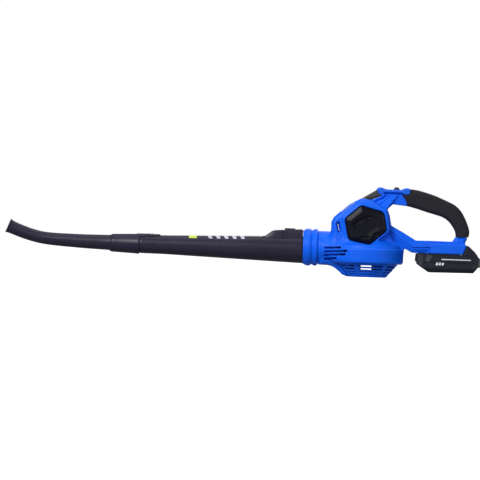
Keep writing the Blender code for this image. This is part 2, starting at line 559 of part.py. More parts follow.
# ------------------------------------------------------------------ electronics and leads
board = box(27.6, 29.2, -24.0, 24.0, 88.0, 108.0)
join(board, box(28.8, 34.5, -9.0, 9.0, 92.0, 104.0))
piece("controller_board", board, GREEN)
term = box(103.5, 115.3, -14.1, 14.1, 51.3, 56.6)
for y in (-9.0, 0.0, 9.0):
    cut(term, box(110.0, 120.0, y - 0.85, y + 0.85, 52.2, 60.0))
piece("terminal_block", term, BLACK)
for name, y in (("terminal_negative", -9.0), ("terminal_positive", 9.0)):
    piece(name, box(110.4, 126.0, y - 0.5, y + 0.5, 52.6, 54.1), BRASS)
for name, y, mat in (("battery_lead_red", 7.0, REDW), ("battery_lead_black", -7.0, BLKW)):
    piece(name, rod([(103.1, y, 54.0), (96.0, y, 54.2), (84.0, y, 57.0), (70.0, y, 62.2), (54.0, y, 73.5),
                     (45.0, y, 82.0), (38.9, y * 0.8, 86.2), (36.2, y * 0.7, 90.0), (36.15, y * 0.7, 96.0)], 1.3), mat)
for name, y, mat in (("motor_lead_red", 12.5, REDW), ("motor_lead_black", -12.5, BLKW)):
    piece(name, rod([(25.9, y, 104.0), (25.0, y, 112.0), (21.0, y, 117.6), (12.0, y * 0.9, 121.0), (5.0, y * 0.72, 119.4), (3.0, y * 0.8, 117.4)], 1.2), mat)
piece("switch_cable", rod([(28.4, 0.0, 108.6), (26.6, 0.0, 112.0), (23.7, 0.0, 116.6), (21.4, 0.0, 121.0), (22.6, 0.0, 131.0), (27.0, 0.0, 139.0), (31.8, 0.0, 141.6)], 1.6), BLKW)

# ------------------------------------------------------------------ battery
SPLIT = 30.6
b_out = slab(BATT, BATT_W, 3.0)
b_in = slab(inset(BATT, 2.2), BATT_W - 2.2, 1.8)
button_win = box(190.0, 215.0, -11.4, 11.4, 23.2, 42.2)
upper = copy(b_out)
join(upper, box(116.2, 168.0, -19.0, 19.0, 45.0, 50.6), box(116.2, 168.0, -23.5, 23.5, 50.4, 54.0))
cut(upper, copy(b_in))
for y in (-9.0, 9.0):
    cut(upper, box(110.0, 128.5, y - 1.2, y + 1.2, 51.6, 60.0))
keep(upper, box(60.0, 230.0, -60.0, 60.0, SPLIT + 0.18, 90.0))
cut(upper, copy(button_win))
piece("battery_upper_case", upper, BLACK, (145.0, 0.0, 46.5))
lower = cut(b_out, b_in)
keep(lower, box(60.0, 230.0, -60.0, 60.0, 0.0, SPLIT - 0.18))
cut(lower, button_win)
piece("battery_lower_case", lower, BLACK, (145.0, 0.0, 30.0))
for i in range(5):
    piece("battery_cell_%d" % (i + 1),
          turned([(CELL_R - 0.8, -CELL_L / 2), (CELL_R, -CELL_L / 2 + 0.8), (CELL_R, CELL_L / 2 - 0.8), (CELL_R - 0.8, CELL_L / 2)],
                 16, "Y", (110.4 + 18.6 * i, 29.0)), CELLB)
piece("battery_board", box(118.0, 168.0, -26.0, 26.0, 39.6, 41.2), GREEN)
btn = slab([(197.4, 24.2), (208.2, 24.2), (208.9, 25.4), (208.9, 40.4), (208.2, 41.5), (197.4, 41.5)], 11.0, 1.2)
piece("battery_release_button", btn, GREY, (203.0, 0.0, 33.0))

# ------------------------------------------------------------------ assembly screws
for i, (sx, sz) in enumerate(SCREWS):
    s = turned([(3.0, 10.0), (3.3, 9.4), (3.3, 7.4), (1.6, 7.35), (1.6, -8.2), (0.6, -9.2)], 9, "Y", (sx, sz))
    piece("housing_screw_%d" % (i + 1), s, STEEL)
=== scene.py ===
# Looks of the cordless leaf blower. Lengths are millimetres in the modelling code and metres in Blender.
import math

import bmesh
import bpy
import numpy as np
from mathutils import Matrix, Vector


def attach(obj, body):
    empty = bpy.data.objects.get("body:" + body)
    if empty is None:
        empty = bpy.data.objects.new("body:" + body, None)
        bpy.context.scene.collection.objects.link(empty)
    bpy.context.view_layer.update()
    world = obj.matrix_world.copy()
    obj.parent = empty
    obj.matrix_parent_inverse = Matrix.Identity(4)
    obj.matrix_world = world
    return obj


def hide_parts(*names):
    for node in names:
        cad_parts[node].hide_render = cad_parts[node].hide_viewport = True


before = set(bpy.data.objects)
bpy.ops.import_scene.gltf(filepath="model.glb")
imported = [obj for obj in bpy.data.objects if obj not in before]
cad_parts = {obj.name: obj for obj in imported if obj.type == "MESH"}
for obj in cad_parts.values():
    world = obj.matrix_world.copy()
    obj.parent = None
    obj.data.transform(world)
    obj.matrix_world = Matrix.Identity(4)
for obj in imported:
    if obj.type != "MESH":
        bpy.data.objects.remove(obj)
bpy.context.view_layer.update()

COL = bpy.context.scene.collection
F = np.float32


# =============================================================== distance-field modelling
class Grid:
    """A block of sample points in mm."""

    def __init__(self, lo, hi, h):
        self.h = float(h)
        self.lo = np.array(lo, float)
        self.n = [int(math.ceil((hi[i] - lo[i]) / h)) + 1 for i in range(3)]
        ax = [self.lo[i] + h * np.arange(self.n[i]) for i in range(3)]
        self.x = ax[0].astype(F)[:, None, None]
        self.y = ax[1].astype(F)[None, :, None]
        self.z = ax[2].astype(F)[None, None, :]


def area(p):
    return 0.5 * sum(p[i][0] * p[(i + 1) % len(p)][1] - p[(i + 1) % len(p)][0] * p[i][1] for i in range(len(p)))


def inset(poly, d):
    s = 1.0 if area(poly) > 0 else -1.0
    out, n = [], len(poly)
    for i in range(n):
        p0, p1, p2 = Vector(poly[i - 1]), Vector(poly[i]), Vector(poly[(i + 1) % n])
        e0, e1 = (p1 - p0).normalized(), (p2 - p1).normalized()
        n0, n1 = Vector((-e0.y, e0.x)) * s, Vector((-e1.y, e1.x)) * s
        m = n0 + n1
        k = m.length_squared
        m = m * (2.0 / k) if k > 0.3 else n0
        out.append(tuple(p1 + m * d))
    return out


def poly2(a, b, poly):
    """Signed distance to a closed polygon; a and b broadcast against each other."""
    shape = np.broadcast(a, b).shape
    a = np.broadcast_to(a, shape)
    b = np.broadcast_to(b, shape)
    best = np.full(shape, 1e9, F)
    sgn = np.ones(shape, F)
    n = len(poly)
    for i in range(n):
        ax, ay = poly[i]
        bx, by = poly[i - 1]
        ex, ey = bx - ax, by - ay
        wx, wy = a - ax, b - ay
        t = np.clip((wx * ex + wy * ey) / (ex * ex + ey * ey + 1e-12), 0, 1)
        dx, dy = wx - ex * t, wy - ey * t
        best = np.minimum(best, dx * dx + dy * dy)
        c1 = b >= ay
        c2 = b < by
        c3 = ex * wy > ey * wx
        flip = (c1 & c2 & c3) | (~c1 & ~c2 & ~c3)
        sgn = np.where(flip, -sgn, sgn)
    return (np.sqrt(best) * sgn).astype(F)


def rpoly(a, b, poly, r_out=0.0, r_in=0.0):
    """Polygon with its outer corners rounded by r_out and its inner corners by r_in."""
    if r_out <= 0 and r_in <= 0:
        return poly2(a, b, poly)
    if r_in <= 0:
        return poly2(a, b, inset(poly, r_out)) - r_out
    return poly2(a, b, inset(poly, -r_in)) + r_in


def ext(d2, s, r=0.0):
    """Meet of a profile distance and a thickness distance, with the rim rounded by r."""
    if r <= 0:
        return np.maximum(d2, s)
    p, q = d2 + r, s + r
    return np.minimum(np.maximum(p, q), 0) + np.sqrt(np.maximum(p, 0) ** 2 + np.maximum(q, 0) ** 2) - r


def smin(a, b, k):
    h = np.clip(0.5 + 0.5 * (b - a) / k, 0, 1)
    return b + (a - b) * h - k * h * (1 - h)


def smax(a, b, k):
    return -smin(-a, -b, k)


def seg2(a, b, p, q, r0, r1=None):
    """Tapered groove: distance to a segment in the side view."""
    r1 = r0 if r1 is None else r1
    ex, ey = q[0] - p[0], q[1] - p[1]
    t = np.clip(((a - p[0]) * ex + (b - p[1]) * ey) / (ex * ex + ey * ey), 0, 1)
    return np.sqrt((a - p[0] - ex * t) ** 2 + (b - p[1] - ey * t) ** 2) - (r0 + (r1 - r0) * t)


def rbox(px, py, hx, hy, r):
    qx, qy = np.abs(px) - hx + r, np.abs(py) - hy + r
    return np.sqrt(np.maximum(qx, 0) ** 2 + np.maximum(qy, 0) ** 2) + np.minimum(np.maximum(qx, qy), 0) - r


def surface(D, g, name):
    """Closed quad mesh of the zero level, by surface nets, then settled onto the field."""
    h, lo = g.h, g.lo
    D = np.array(D, dtype=F)
    for ax in range(3):
        sl = [slice(None)] * 3
        for e in (0, -1):
            sl[ax] = e
            D[tuple(sl)] = np.maximum(D[tuple(sl)], 0.5 * h)
    ins = D < 0
    c = [ins[i:i + D.shape[0] - 1, j:j + D.shape[1] - 1, k:k + D.shape[2] - 1]
         for i in (0, 1) for j in (0, 1) for k in (0, 1)]
    anyi = c[0].copy()
    alli = c[0].copy()
    for m in c[1:]:
        anyi |= m
        alli &= m
    act = anyi & ~alli
    cells = np.argwhere(act)
    idx = np.full(act.shape, -1, np.int32)
    idx[act] = np.arange(len(cells), dtype=np.int32)
    ci, cj, ck = cells.T
    val = {}
    for i in (0, 1):
        for j in (0, 1):
            for k in (0, 1):
                val[(i, j, k)] = D[ci + i, cj + j, ck + k]
    acc = np.zeros((len(cells), 3))
    cnt = np.zeros(len(cells))
    for ax in range(3):
        for u in (0, 1):
            for v in (0, 1):
                a = [u, v]
                a.insert(ax, 0)
                b = list(a)
                b[ax] = 1
                da, db = val[tuple(a)], val[tuple(b)]
                m = (da < 0) != (db < 0)
                t = np.where(m, da / np.where(m, da - db, 1), 0)
                p = np.tile(np.array(a, float), (len(cells), 1))
                p[:, ax] = t
                acc[m] += p[m]
                cnt[m] += 1
    V = cells + acc / cnt[:, None]
    quads = []
    for ax in range(3):
        s0 = [slice(None)] * 3
        s1 = [slice(None)] * 3
        s0[ax] = slice(0, -1)
        s1[ax] = slice(1, None)
        a, b = ins[tuple(s0)], ins[tuple(s1)]
        for sign, m in ((1, a & ~b), (-1, ~a & b)):
            e = np.argwhere(m)
            o1, o2 = [(1, 2), (2, 0), (0, 1)][ax]
            ok = (e[:, o1] > 0) & (e[:, o2] > 0)
            e = e[ok]
            q = []
            for d1, d2 in ((-1, -1), (0, -1), (0, 0), (-1, 0)):
                f = e.copy()
                f[:, o1] += d1
                f[:, o2] += d2
                q.append(idx[f[:, 0], f[:, 1], f[:, 2]])
            q = np.stack(q if sign > 0 else q[::-1], 1)
            quads.append(q)
    quads = np.concatenate(quads)
    for _ in range(3):                                   # settle the vertices onto the surface
        i0 = np.clip(np.floor(V).astype(int), 0, np.array(D.shape) - 2)
        f = V - i0
        cc = {}
        for i in (0, 1):
            for j in (0, 1):
                for k in (0, 1):
                    cc[(i, j, k)] = D[i0[:, 0] + i, i0[:, 1] + j, i0[:, 2] + k].astype(float)
        fx, fy, fz = f.T
        x00 = cc[0, 0, 0] * (1 - fx) + cc[1, 0, 0] * fx
        x01 = cc[0, 0, 1] * (1 - fx) + cc[1, 0, 1] * fx
        x10 = cc[0, 1, 0] * (1 - fx) + cc[1, 1, 0] * fx
        x11 = cc[0, 1, 1] * (1 - fx) + cc[1, 1, 1] * fx
        y0, y1 = x00 * (1 - fy) + x10 * fy, x01 * (1 - fy) + x11 * fy
        d = y0 * (1 - fz) + y1 * fz
        gz = y1 - y0
        gy = (x10 - x00) * (1 - fz) + (x11 - x01) * fz
        gx = ((cc[1, 0, 0] - cc[0, 0, 0]) * (1 - fy) * (1 - fz) + (cc[1, 1, 0] - cc[0, 1, 0]) * fy * (1 - fz)
              + (cc[1, 0, 1] - cc[0, 0, 1]) * (1 - fy) * fz + (cc[1, 1, 1] - cc[0, 1, 1]) * fy * fz)
        G = np.stack([gx, gy, gz], 1)
        g2 = (G * G).sum(1) + 1e-6
        step = -G * (d / g2)[:, None]
        ln = np.sqrt((step * step).sum(1))
        step *= np.minimum(1, 0.35 / np.maximum(ln, 1e-9))[:, None]
        V = V + 0.8 * step
    P = (V * h + lo) * 0.001
    return make_mesh(name, P, quads)


def make_mesh(name, P, faces):
    me = bpy.data.meshes.new(name)
    P = np.asarray(P, F)
    faces = np.asarray(faces, np.int32)
    k = faces.shape[1]
    me.vertices.add(len(P))
    me.vertices.foreach_set("co", P.ravel())
    me.loops.add(faces.size)
    me.loops.foreach_set("vertex_index", faces.ravel())
    me.polygons.add(len(faces))
    me.polygons.foreach_set("loop_start", np.arange(0, faces.size, k, dtype=np.int32))
    me.update(calc_edges=True)
    me.validate()
    ob = bpy.data.objects.new(name, me)
    COL.objects.link(ob)
    return ob


# =============================================================== other mesh helpers
def loft(rings, name, wrap=False):
    n = len(rings[0])
    P = np.array([v for r in rings for v in r], float) * 0.001
    faces = []
    pairs = [(i, i + 1) for i in range(len(rings) - 1)] + ([(len(rings) - 1, 0)] if wrap else [])
    for a, b in pairs:
        for k in range(n):
            k2 = (k + 1) % n
            faces.append((a * n + k, a * n + k2, b * n + k2, b * n + k))
    me = bpy.data.meshes.new(name)
    if not wrap:
        faces.append(tuple(range(n)))
        faces.append(tuple(range((len(rings) - 1) * n, len(rings) * n)))
    me.from_pydata([tuple(p) for p in P], [], faces)
    bm = bmesh.new()
    bm.from_mesh(me)
    bmesh.ops.recalc_face_normals(bm, faces=bm.faces)
    bm.to_mesh(me)
    bm.free()
    ob = bpy.data.objects.new(name, me)
    COL.objects.link(ob)
    return ob


def turned(profile, name, segs=96, axis="Z", c=(0.0, 0.0), ring=False):
    def place(r, h, a):
        s, t = r * math.cos(a), r * math.sin(a)
        return {"Z": (c[0] + s, c[1] + t, h), "X": (h, c[0] + s, c[1] + t), "Y": (c[0] + s, h, c[1] + t)}[axis]
    return loft([[place(r, h, 2 * math.pi * k / segs) for k in range(segs)] for r, h in profile], name, wrap=ring)


def fillet(profile, r, closed=False, steps=4):
    """Rounds the corners of a profile polyline."""
    out, n = [], len(profile)
    for i, p in enumerate(profile):
        if not closed and i in (0, n - 1):
            out.append(p)
            continue
        a, b = Vector(profile[i - 1]), Vector(profile[(i + 1) % n])
        v = Vector(p)
        da, db = a - v, b - v
        k = min(r, da.length * 0.45, db.length * 0.45)
        p0, p1 = v + da.normalized() * k, v + db.normalized() * k
        for s in range(steps + 1):
            t = s / steps
            q = p0 * (1 - t) ** 2 + v * 2 * t * (1 - t) + p1 * t * t
            out.append((q.x, q.y))
    return out


def box(x0, x1, y0, y1, z0, z1, name="cut"):
    return loft([[(x0, y, z0), (x1, y, z0), (x1, y, z1), (x0, y, z1)] for y in (y0, y1)], name)


def bevelled(ob, w, segs=3, angle=35):
    m = ob.modifiers.new("bevel", "BEVEL")
    m.width = w * 0.001
    m.segments = segs
    m.limit_method = "ANGLE"
    m.angle_limit = math.radians(angle)
    return apply_all(ob)


def apply_all(ob):
    dg = bpy.context.evaluated_depsgraph_get()
    me = bpy.data.meshes.new_from_object(ob.evaluated_get(dg))
    ob.modifiers.clear()
    old = ob.data
    ob.data = me
    me.name = ob.name
    bpy.data.meshes.remove(old)
    return ob


def boolean(a, b, op="DIFFERENCE", solver="MANIFOLD"):
    m = a.modifiers.new("b", "BOOLEAN")
    m.operation, m.solver, m.object = op, solver, b
    apply_all(a)
    bpy.data.objects.remove(b)
    return a


def smooth(ob, angle=40.0):
    ob.data.shade_smooth()
    if angle < 179:
        ob.data.set_sharp_from_angle(angle=math.radians(angle))
    return ob


# =============================================================== the design's outlines (mm, side view x, z)
GAP = 0.35
BODY = [(-64.0, 46.0), (-65.4, 97.0), (-61.2, 106.0), (-49.0, 117.2), (-33.4, 131.0), (-12.0, 142.0),
        (6.3, 138.4), (27.0, 127.2), (34.2, 123.6), (38.8, 112.0), (42.1, 94.7), (38.6, 84.2), (8.6, 57.4), (8.0, 46.0)]
WEB = [(0.0, 84.0), (30.0, 84.0), (42.0, 74.0), (47.5, 65.6), (68.2, 54.6), (66.0, 50.0), (0.0, 50.0)]
FRAME = [(-47.2, 106.7), (-13.8, 135.8), (32.8, 123.3), (38.6, 83.2), (5.6, 55.6), (-38.8, 64.0)]
HEX = [(-41.4, 103.3), (-13.4, 128.2), (27.4, 117.2), (34.0, 84.5), (3.8, 59.0), (-33.6, 66.2)]
STRUT = [(-14.0, 112.0), (-10.0, 138.0), (-2.7, 138.2), (8.2, 140.6), (22.8, 147.0), (22.6, 150.9),
         (54.8, 150.9), (28.6, 118.5), (30.0, 108.0)]
PANEL = [(24.0, 112.0), (30.0, 150.9), (60.2, 150.9), (70.2, 130.3), (44.3, 132.8), (43.1, 132.0), (34.7, 123.6),
         (36.0, 112.0)]
ARM = [(18.0, 84.0), (42.1, 94.7), (64.1, 82.9), (87.5, 69.3), (113.3, 69.7), (153.0, 69.5), (175.9, 68.2),
       (175.8, 60.0), (171.0, 50.0), (114.1, 46.85), (81.6, 46.9), (67.9, 54.2), (33.0, 72.7), (18.0, 76.0)]
GROOVE = [(37.0, 86.4), (59.2, 70.1), (81.3, 56.0), (113.8, 56.8)]
FOOT = [(114.2, 64.3), (178.8, 64.2), (172.1, 46.9), (114.2, 46.9)]
COLLAR = [(151.0, 58.0), (153.2, 69.4), (158.3, 77.6), (181.1, 77.4), (176.0, 68.2), (175.9, 58.0)]
FAIR = [(-84.0, 40.0), (-84.0, 21.4), (-68.7, 20.7), (-61.0, 17.6), (-54.0, 13.0), (-44.7, 4.6), (-40.6, 1.9), (-36.0, 1.0),
        (-20.0, 1.0), (-20.0, 40.0)]
STRAP = [(-55.8, 94.4), (-53.0, 97.4), (-48.7, 81.4), (-51.9, 79.4)]
SCREWS = [(-50.0, 105.0), (14.0, 132.0), (57.6, 139.6), (166.0, 71.5), (68.0, 73.0), (98.0, 63.2)]
SIDE_VENTS = [(49.5, -76.9, -47.0), (42.8, -76.7, -36.3), (36.9, -76.5, -38.6), (30.8, -76.2, -54.0)]
DRUM_R, DUCT_R, DUCT_Z, TUBE_Z = 66.8, 29.85, 50.4, 45.2
STRUT_W, CORE_W = 16.3, 13.3
GRIP_TOP = [(75.4, 161.2), (88.3, 159.8), (102.3, 156.3), (119.8, 151.0), (137.2, 143.9), (154.8, 135.9),
            (165.4, 126.7), (173.4, 114.8), (180.2, 99.7), (183.3, 89.0), (182.7, 80.9), (181.1, 77.8)]
GRIP_BOT = [(59.4, 150.3), (69.3, 130.3), (86.1, 126.4), (103.6, 121.2), (121.1, 116.5), (134.2, 112.5),
            (144.9, 105.6), (153.4, 95.1), (158.1, 85.4), (158.6, 77.9)]


PAD_LINE = [(-12.2, 141.8), (-2.7, 138.1), (8.0, 140.8), (22.2, 146.9), (23.6, 149.3), (19.0, 152.0), (14.0, 157.9)]


def spline(pts, sub=6):
    """Smooth curve through the points."""
    q = [Vector(p) for p in pts]
    q = [q[0] * 2 - q[1]] + q + [q[-1] * 2 - q[-2]]
    out = []
    for i in range(1, len(q) - 2):
        p0, p1, p2, p3 = q[i - 1:i + 3]
        for s in range(sub):
            t = s / sub
            out.append(tuple(0.5 * ((2 * p1) + (p2 - p0) * t + (2 * p0 - 5 * p1 + 4 * p2 - p3) * t * t
                                    + (3 * p1 - p0 - 3 * p2 + p3) * t ** 3)))
    out.append(tuple(q[-2]))
    return out


def shift_line(pts, d):
    out, n = [], len(pts)
    for i in range(n):
        p = Vector(pts[i])
        e0 = (p - Vector(pts[i - 1])).normalized() if i else None
        e1 = (Vector(pts[i + 1]) - p).normalized() if i < n - 1 else None
        e0, e1 = e0 or e1, e1 or e0
        m = Vector((-e0.y, e0.x)) + Vector((-e1.y, e1.x))
        out.append(tuple(p + m * (2.0 / m.length_squared) * d))
    return out


# =============================================================== body shell
def drum_field(x, y, z, prof, r_out):
    """A profile (radius, z) turned about Z, looked up from a table."""
    rr = np.arange(0, 125, 0.4, dtype=F)[:, None]
    tab = rpoly(rr, z[0], prof, r_out)
    ri = np.sqrt(x * x + y * y)[:, :, 0] / 0.4
    i0 = np.minimum(ri.astype(int), len(rr) - 2)
    f = (ri - i0)[:, :, None].astype(F)
    return tab[i0] * (1 - f) + tab[i0 + 1] * f


DRUM_PROF = [(-20.0, 24.5), (63.2, 24.5), (66.0, 27.6), (DRUM_R, 49.9), (63.0, 52.6), (61.6, 56.3), (34.0, 70.0),
             (-20.0, 72.0)]


def shell_field(g):
    x, y, z = g.x, g.y, g.z
    ay = np.abs(y)
    drum = drum_field(x, y, z, DRUM_PROF, 1.3)
    # round duct, and the fairing that opens out from it to the drum
    rd = np.sqrt(y * y + (z - DUCT_Z) ** 2)
    duct = ext(rd - DUCT_R, np.abs(x + 66.0) - 22.0, 0.8)
    t = np.clip((x + 84.0) / 54.0, 0, 1)
    w = DUCT_R - 0.6 + 30.0 * t ** 1.15
    u = np.clip((x + 84.0) / 30.0, 0, 1)
    u = u * u * (3 - 2 * u)
    zt = 62.0 - 6.5 * u
    zb = 38.0 - 13.5 * u
    hz = 0.5 * (zt - zb)
    fair = rbox(ay + 0 * z, z - 0.5 * (zt + zb) + 0 * y, w, hz, np.minimum(9.0, hz - 0.3))
    fair = smax(fair * 0.9, np.abs(x + 56.0) - 28.0, 1.5)
    low = smin(duct, fair, 7.0)
    low = smin(low, drum, 3.0)
    keel = ext(poly2(x, z, FAIR), ay - 22.0, 7.0)
    low = smin(low, keel, 6.0)
    # motor housing with its raised hexagonal frame and the thin lip around the cover
    body = ext(rpoly(x, z, BODY, 3.0), ay - 34.0, 9.0)
    frame6 = ext(rpoly(x, z, FRAME, 6.0), ay - 36.6, 2.0)
    body = smin(body, frame6, 4.0)
    lip = ext(np.abs(rpoly(x, z, inset(HEX, -2.2), 9.5)) - 0.9, np.abs(ay - 34.4) - 3.4, 0.7)
    body = smin(body, lip, 0.5)
    D = smin(low, body, 3.5 + 10.5 * np.clip((-18.0 - x) / 24.0, 0, 1) * np.clip((ay - 6.0) / 16.0, 0, 1))
    # front strut, wide where it leaves the body, and the thinner panel behind it
    ws = np.clip(STRUT_W + (146.0 - z) * 0.40, STRUT_W, 31.0)
    strut = ext(rpoly(x, z, STRUT, 1.0), (ay - ws) * 0.93, 2.4)
    wedge = rpoly(x, z, [(4.9, 134.4), (31.0, 149.4), (36.4, 149.4), (27.2, 142.4), (15.0, 136.4), (6.0, 132.8)], 0.4)
    fall = np.clip((x - 5.4) * 0.490 - (z - 134.6) * 0.871, 0, 4)
    g1 = np.maximum(wedge + 0 * y, ws - 0.8 - 1.25 * fall - ay)
    g2 = np.maximum(seg2(x, z, (15.8, 125.6), (38.4, 147.4), 0.95, 0.7), (ws - 1.6) - ay)
    g3 = np.maximum(seg2(x, z, (9.8, 129.4), (34.4, 148.6), 0.5), (ws - 0.7) - ay)
    strut = smax(strut, -g1, 0.6)
    strut = smax(strut, -g2, 0.8)
    strut = smax(strut, -g3, 0.6)
    panel = ext(rpoly(x, z, PANEL, 1.0), ay - 13.6, 2.5)
    D = smin(D, strut, 2.0)
    D = smin(D, panel, 1.0)
    # lower arm: an upper band and a slightly recessed lower band, split by a groove
    arm = ext(rpoly(x, z, ARM, 1.6), ay - 21.0, 4.5)
    below = poly2(x, z, [(20.0, 99.0)] + GROOVE + [(113.8, 30.0), (20.0, 30.0)])
    # the upper band leans back towards its top and the lower band towards its bottom edge
    arm = smax(arm, (ay - 21.0 + 0.24 * np.clip(below, 0, 14)) * 0.97, 0.6)
    arm = smax(arm, -np.maximum(below, 19.6 - 0.42 * np.clip(-below, 0, 12) - ay), 0.6)
    for p, q in zip(GROOVE[:-1], GROOVE[1:]):
        arm = smax(arm, -np.maximum(seg2(x, z, p, q, 1.0), 18.0 - ay), 0.6)
    top_line = shift_line([(42.1, 94.7), (64.1, 82.9), (87.5, 69.3), (113.3, 69.7)], -4.6)
    for p, q in zip(top_line[:-1], top_line[1:]):
        arm = smax(arm, -np.maximum(seg2(x, z, p, q, 0.5), 19.7 - ay), 0.5)
    D = smin(D, arm, 2.2)
    # web that closes the corner between the arm and the drum's shoulder
    web = ext(rpoly(x, z, WEB, 1.0), ay - 26.5 + 0.35 * np.maximum(x - 38.0, 0), 2.5)
    D = smin(D, web, 2.0)
    D = np.maximum(D, -np.maximum(np.maximum(np.abs(x - 102.0) - 16.0, ay - 8.8), z - 48.3))
    foot = ext(rpoly(x, z, FOOT, 1.2), ay - 38.5, 2.2)
    D = smin(D, foot, 1.6)
    knob = ext(rpoly(x, z, COLLAR, 2.0), ay - 16.3, 7.0)
    return smin(D, knob, 2.4)


def core_poly(d):
    top = shift_line(GRIP_TOP, -3.4 - d)
    bot = shift_line(GRIP_BOT[1:], 3.4 + d)
    return ([(40.0, 147.2 - d), (66.0, 146.6 - d), (76.4, 147.4 - d)] + [(80.2 + d, 157.0 - d)] + top[1:]
            + [(top[-1][0] - 1.2, 72.0), (bot[-1][0] + 0.2, 72.0)] + bot[::-1]
            + [(62.0, 136.4 + d), (44.0, 137.0 + d)])


def mirror_y(ob):
    me = ob.data
    co = np.empty(len(me.vertices) * 3, F)
    me.vertices.foreach_get("co", co)
    co = co.reshape(-1, 3)
    co[:, 1] *= -1
    me.vertices.foreach_set("co", co.ravel())
    me.flip_normals()
    me.update()


def thin(ob, limit):
    """Collapse the flattest faces until the piece has at most `limit` triangles."""
    n = sum(len(p.vertices) - 2 for p in ob.data.polygons)
    if n > limit:
        m = ob.modifiers.new("d", "DECIMATE")
        m.ratio = limit / n
        apply_all(ob)
    return ob


def housing():
    h = 0.85
    g = Grid((-91, -70, -3), (188, 2.5, 161), h)
    x, y, z = g.x, g.y, g.z
    ay = np.abs(y)
    D = shell_field(g)
    core = ext(poly2(x, z, core_poly(0.0)), ay - CORE_W, 3.0)
    cavity = np.minimum(D + 2.5, ext(poly2(x, z, core_poly(2.4)), ay - CORE_W + 2.4, 1.5))
    D = np.minimum(D, core)
    # screw bosses, strap tunnel and rail channel stand inside the cavity
    for sx, sz in SCREWS:
        cavity = np.maximum(cavity, -(np.sqrt((x - sx) ** 2 + (z - sz) ** 2) - 4.7))
    strap = rpoly(x, z, STRAP, 1.0)
    strap_wide = strap + 1.1 - 3.4 * np.clip((ay - 23.0) / 11.0, 0, 1)
    cavity = np.maximum(cavity, -(strap_wide - 2.2))
    # the round duct runs on inside the fairing
    rd = np.sqrt(y * y + (z - DUCT_Z) ** 2)
    cavity = np.maximum(cavity, -np.maximum(np.abs(rd - 27.4) - 2.45, x + 40.0))
    # cup and ledge behind each hexagonal cover
    cavity = np.maximum(cavity, -np.maximum(rpoly(x, z, inset(HEX, -3.4), 6.0), 26.4 - ay))
    cavity = np.maximum(cavity, -np.maximum(np.maximum(np.abs(x - 142) - 29.5, ay - 26.4), np.abs(z - 50.5) - 6.5))
    D = smax(D, -cavity, 0.5)
    D = smax(D, -strap_wide, 0.8)
    bore = 27.35 - 1.6 * np.clip((x + 84.0) / 3.0, 0, 1)
    D = smax(D, -np.maximum(rd - bore, x + 50.0), 0.5)
    # hexagonal seat with a ledge behind it
    D = smax(D, -np.maximum(rpoly(x, z, inset(HEX, -1.2), 10.0), 29.15 - ay), 0.5)
    D = smax(D, -np.maximum(rpoly(x, z, inset(HEX, 4.5), 4.0), 20.0 - ay), 0.5)
    # rail channel, terminal window, slider slot, pad seat
    D = np.maximum(D, -np.maximum(np.maximum(115.7 - x, ay - 19.5), z - 50.4))
    D = np.maximum(D, -np.maximum(np.maximum(115.7 - x, ay - 24.0), np.abs(z - 52.2) - 2.3))
    D = np.maximum(D, -np.maximum(np.maximum(np.abs(x - 114) - 4, ay - 14.5), np.abs(z - 54.0) - 3.0))
    D = np.maximum(D, -np.maximum(np.maximum(np.abs(x - 43.35) - 9.85, ay - 3.2), np.abs(z - 148.0) - 8.0))
    D = np.maximum(D, -np.maximum(poly2(x, z, inset(PAD_LINE, 0.12)), ay - 18.0))
    # louvred side vents
    for zc, x0, x1 in SIDE_VENTS:
        v = rbox(x - 0.5 * (x0 + x1) + 0 * z, z - zc - 0.12 * (ay - 27.0) + 0 * x, 0.5 * (x1 - x0), 1.95, 1.2)
        D = smax(D, -np.maximum(v, 27.9 - rd), 0.5)
    # cooling vents across the sloping front
    for i in range(8):
        t = (i + 0.5) / 8.0
        xc, zc = -48.4 + 23.5 * t, 116.2 + 18.2 * t
        u = (x - xc) * 0.79 + (z - zc) * 0.61
        v = (x - xc) * -0.61 + (z - zc) * 0.79
        s = np.maximum(np.maximum(np.abs(u) - 0.85, np.abs(v) - 8.0), ay - 31.2)
        D = smax(D, -s, 0.4)
    # seat of the intake guard, and the bottom opening
    R = np.sqrt(x * x + y * y)
    D = np.maximum(D, -np.maximum(np.maximum(0.761 * (R - 38.0) - 0.649 * (z - 1.0), z - 24.45), R - 57.2))
    D = np.maximum(D, -np.maximum(R - 55.1, np.abs(z - 32.2) - 7.9))
    out = []
    for side, name in ((-1, "housing_left_shell"), (1, "housing_right_shell")):
        E = D.copy()
        for sx, sz in SCREWS:
            r = np.sqrt((x - sx) ** 2 + (z - sz) ** 2)
            if side > 0:
                E = smax(E, -np.maximum(r - 3.8, 7.1 - ay), 0.6)
                E = np.maximum(E, -(r - 1.9 + 0 * y))
            else:
                E = np.maximum(E, -np.maximum(r - 1.9, ay - 9.6))
        E = smax(E, y + 0.17, 0.35)
        ob = surface(E, g, name)
        if side > 0:
            mirror_y(ob)
        keep_largest(ob)
        thin(ob, 190000)
        smooth(ob, 180)
        out.append(ob)
    return out


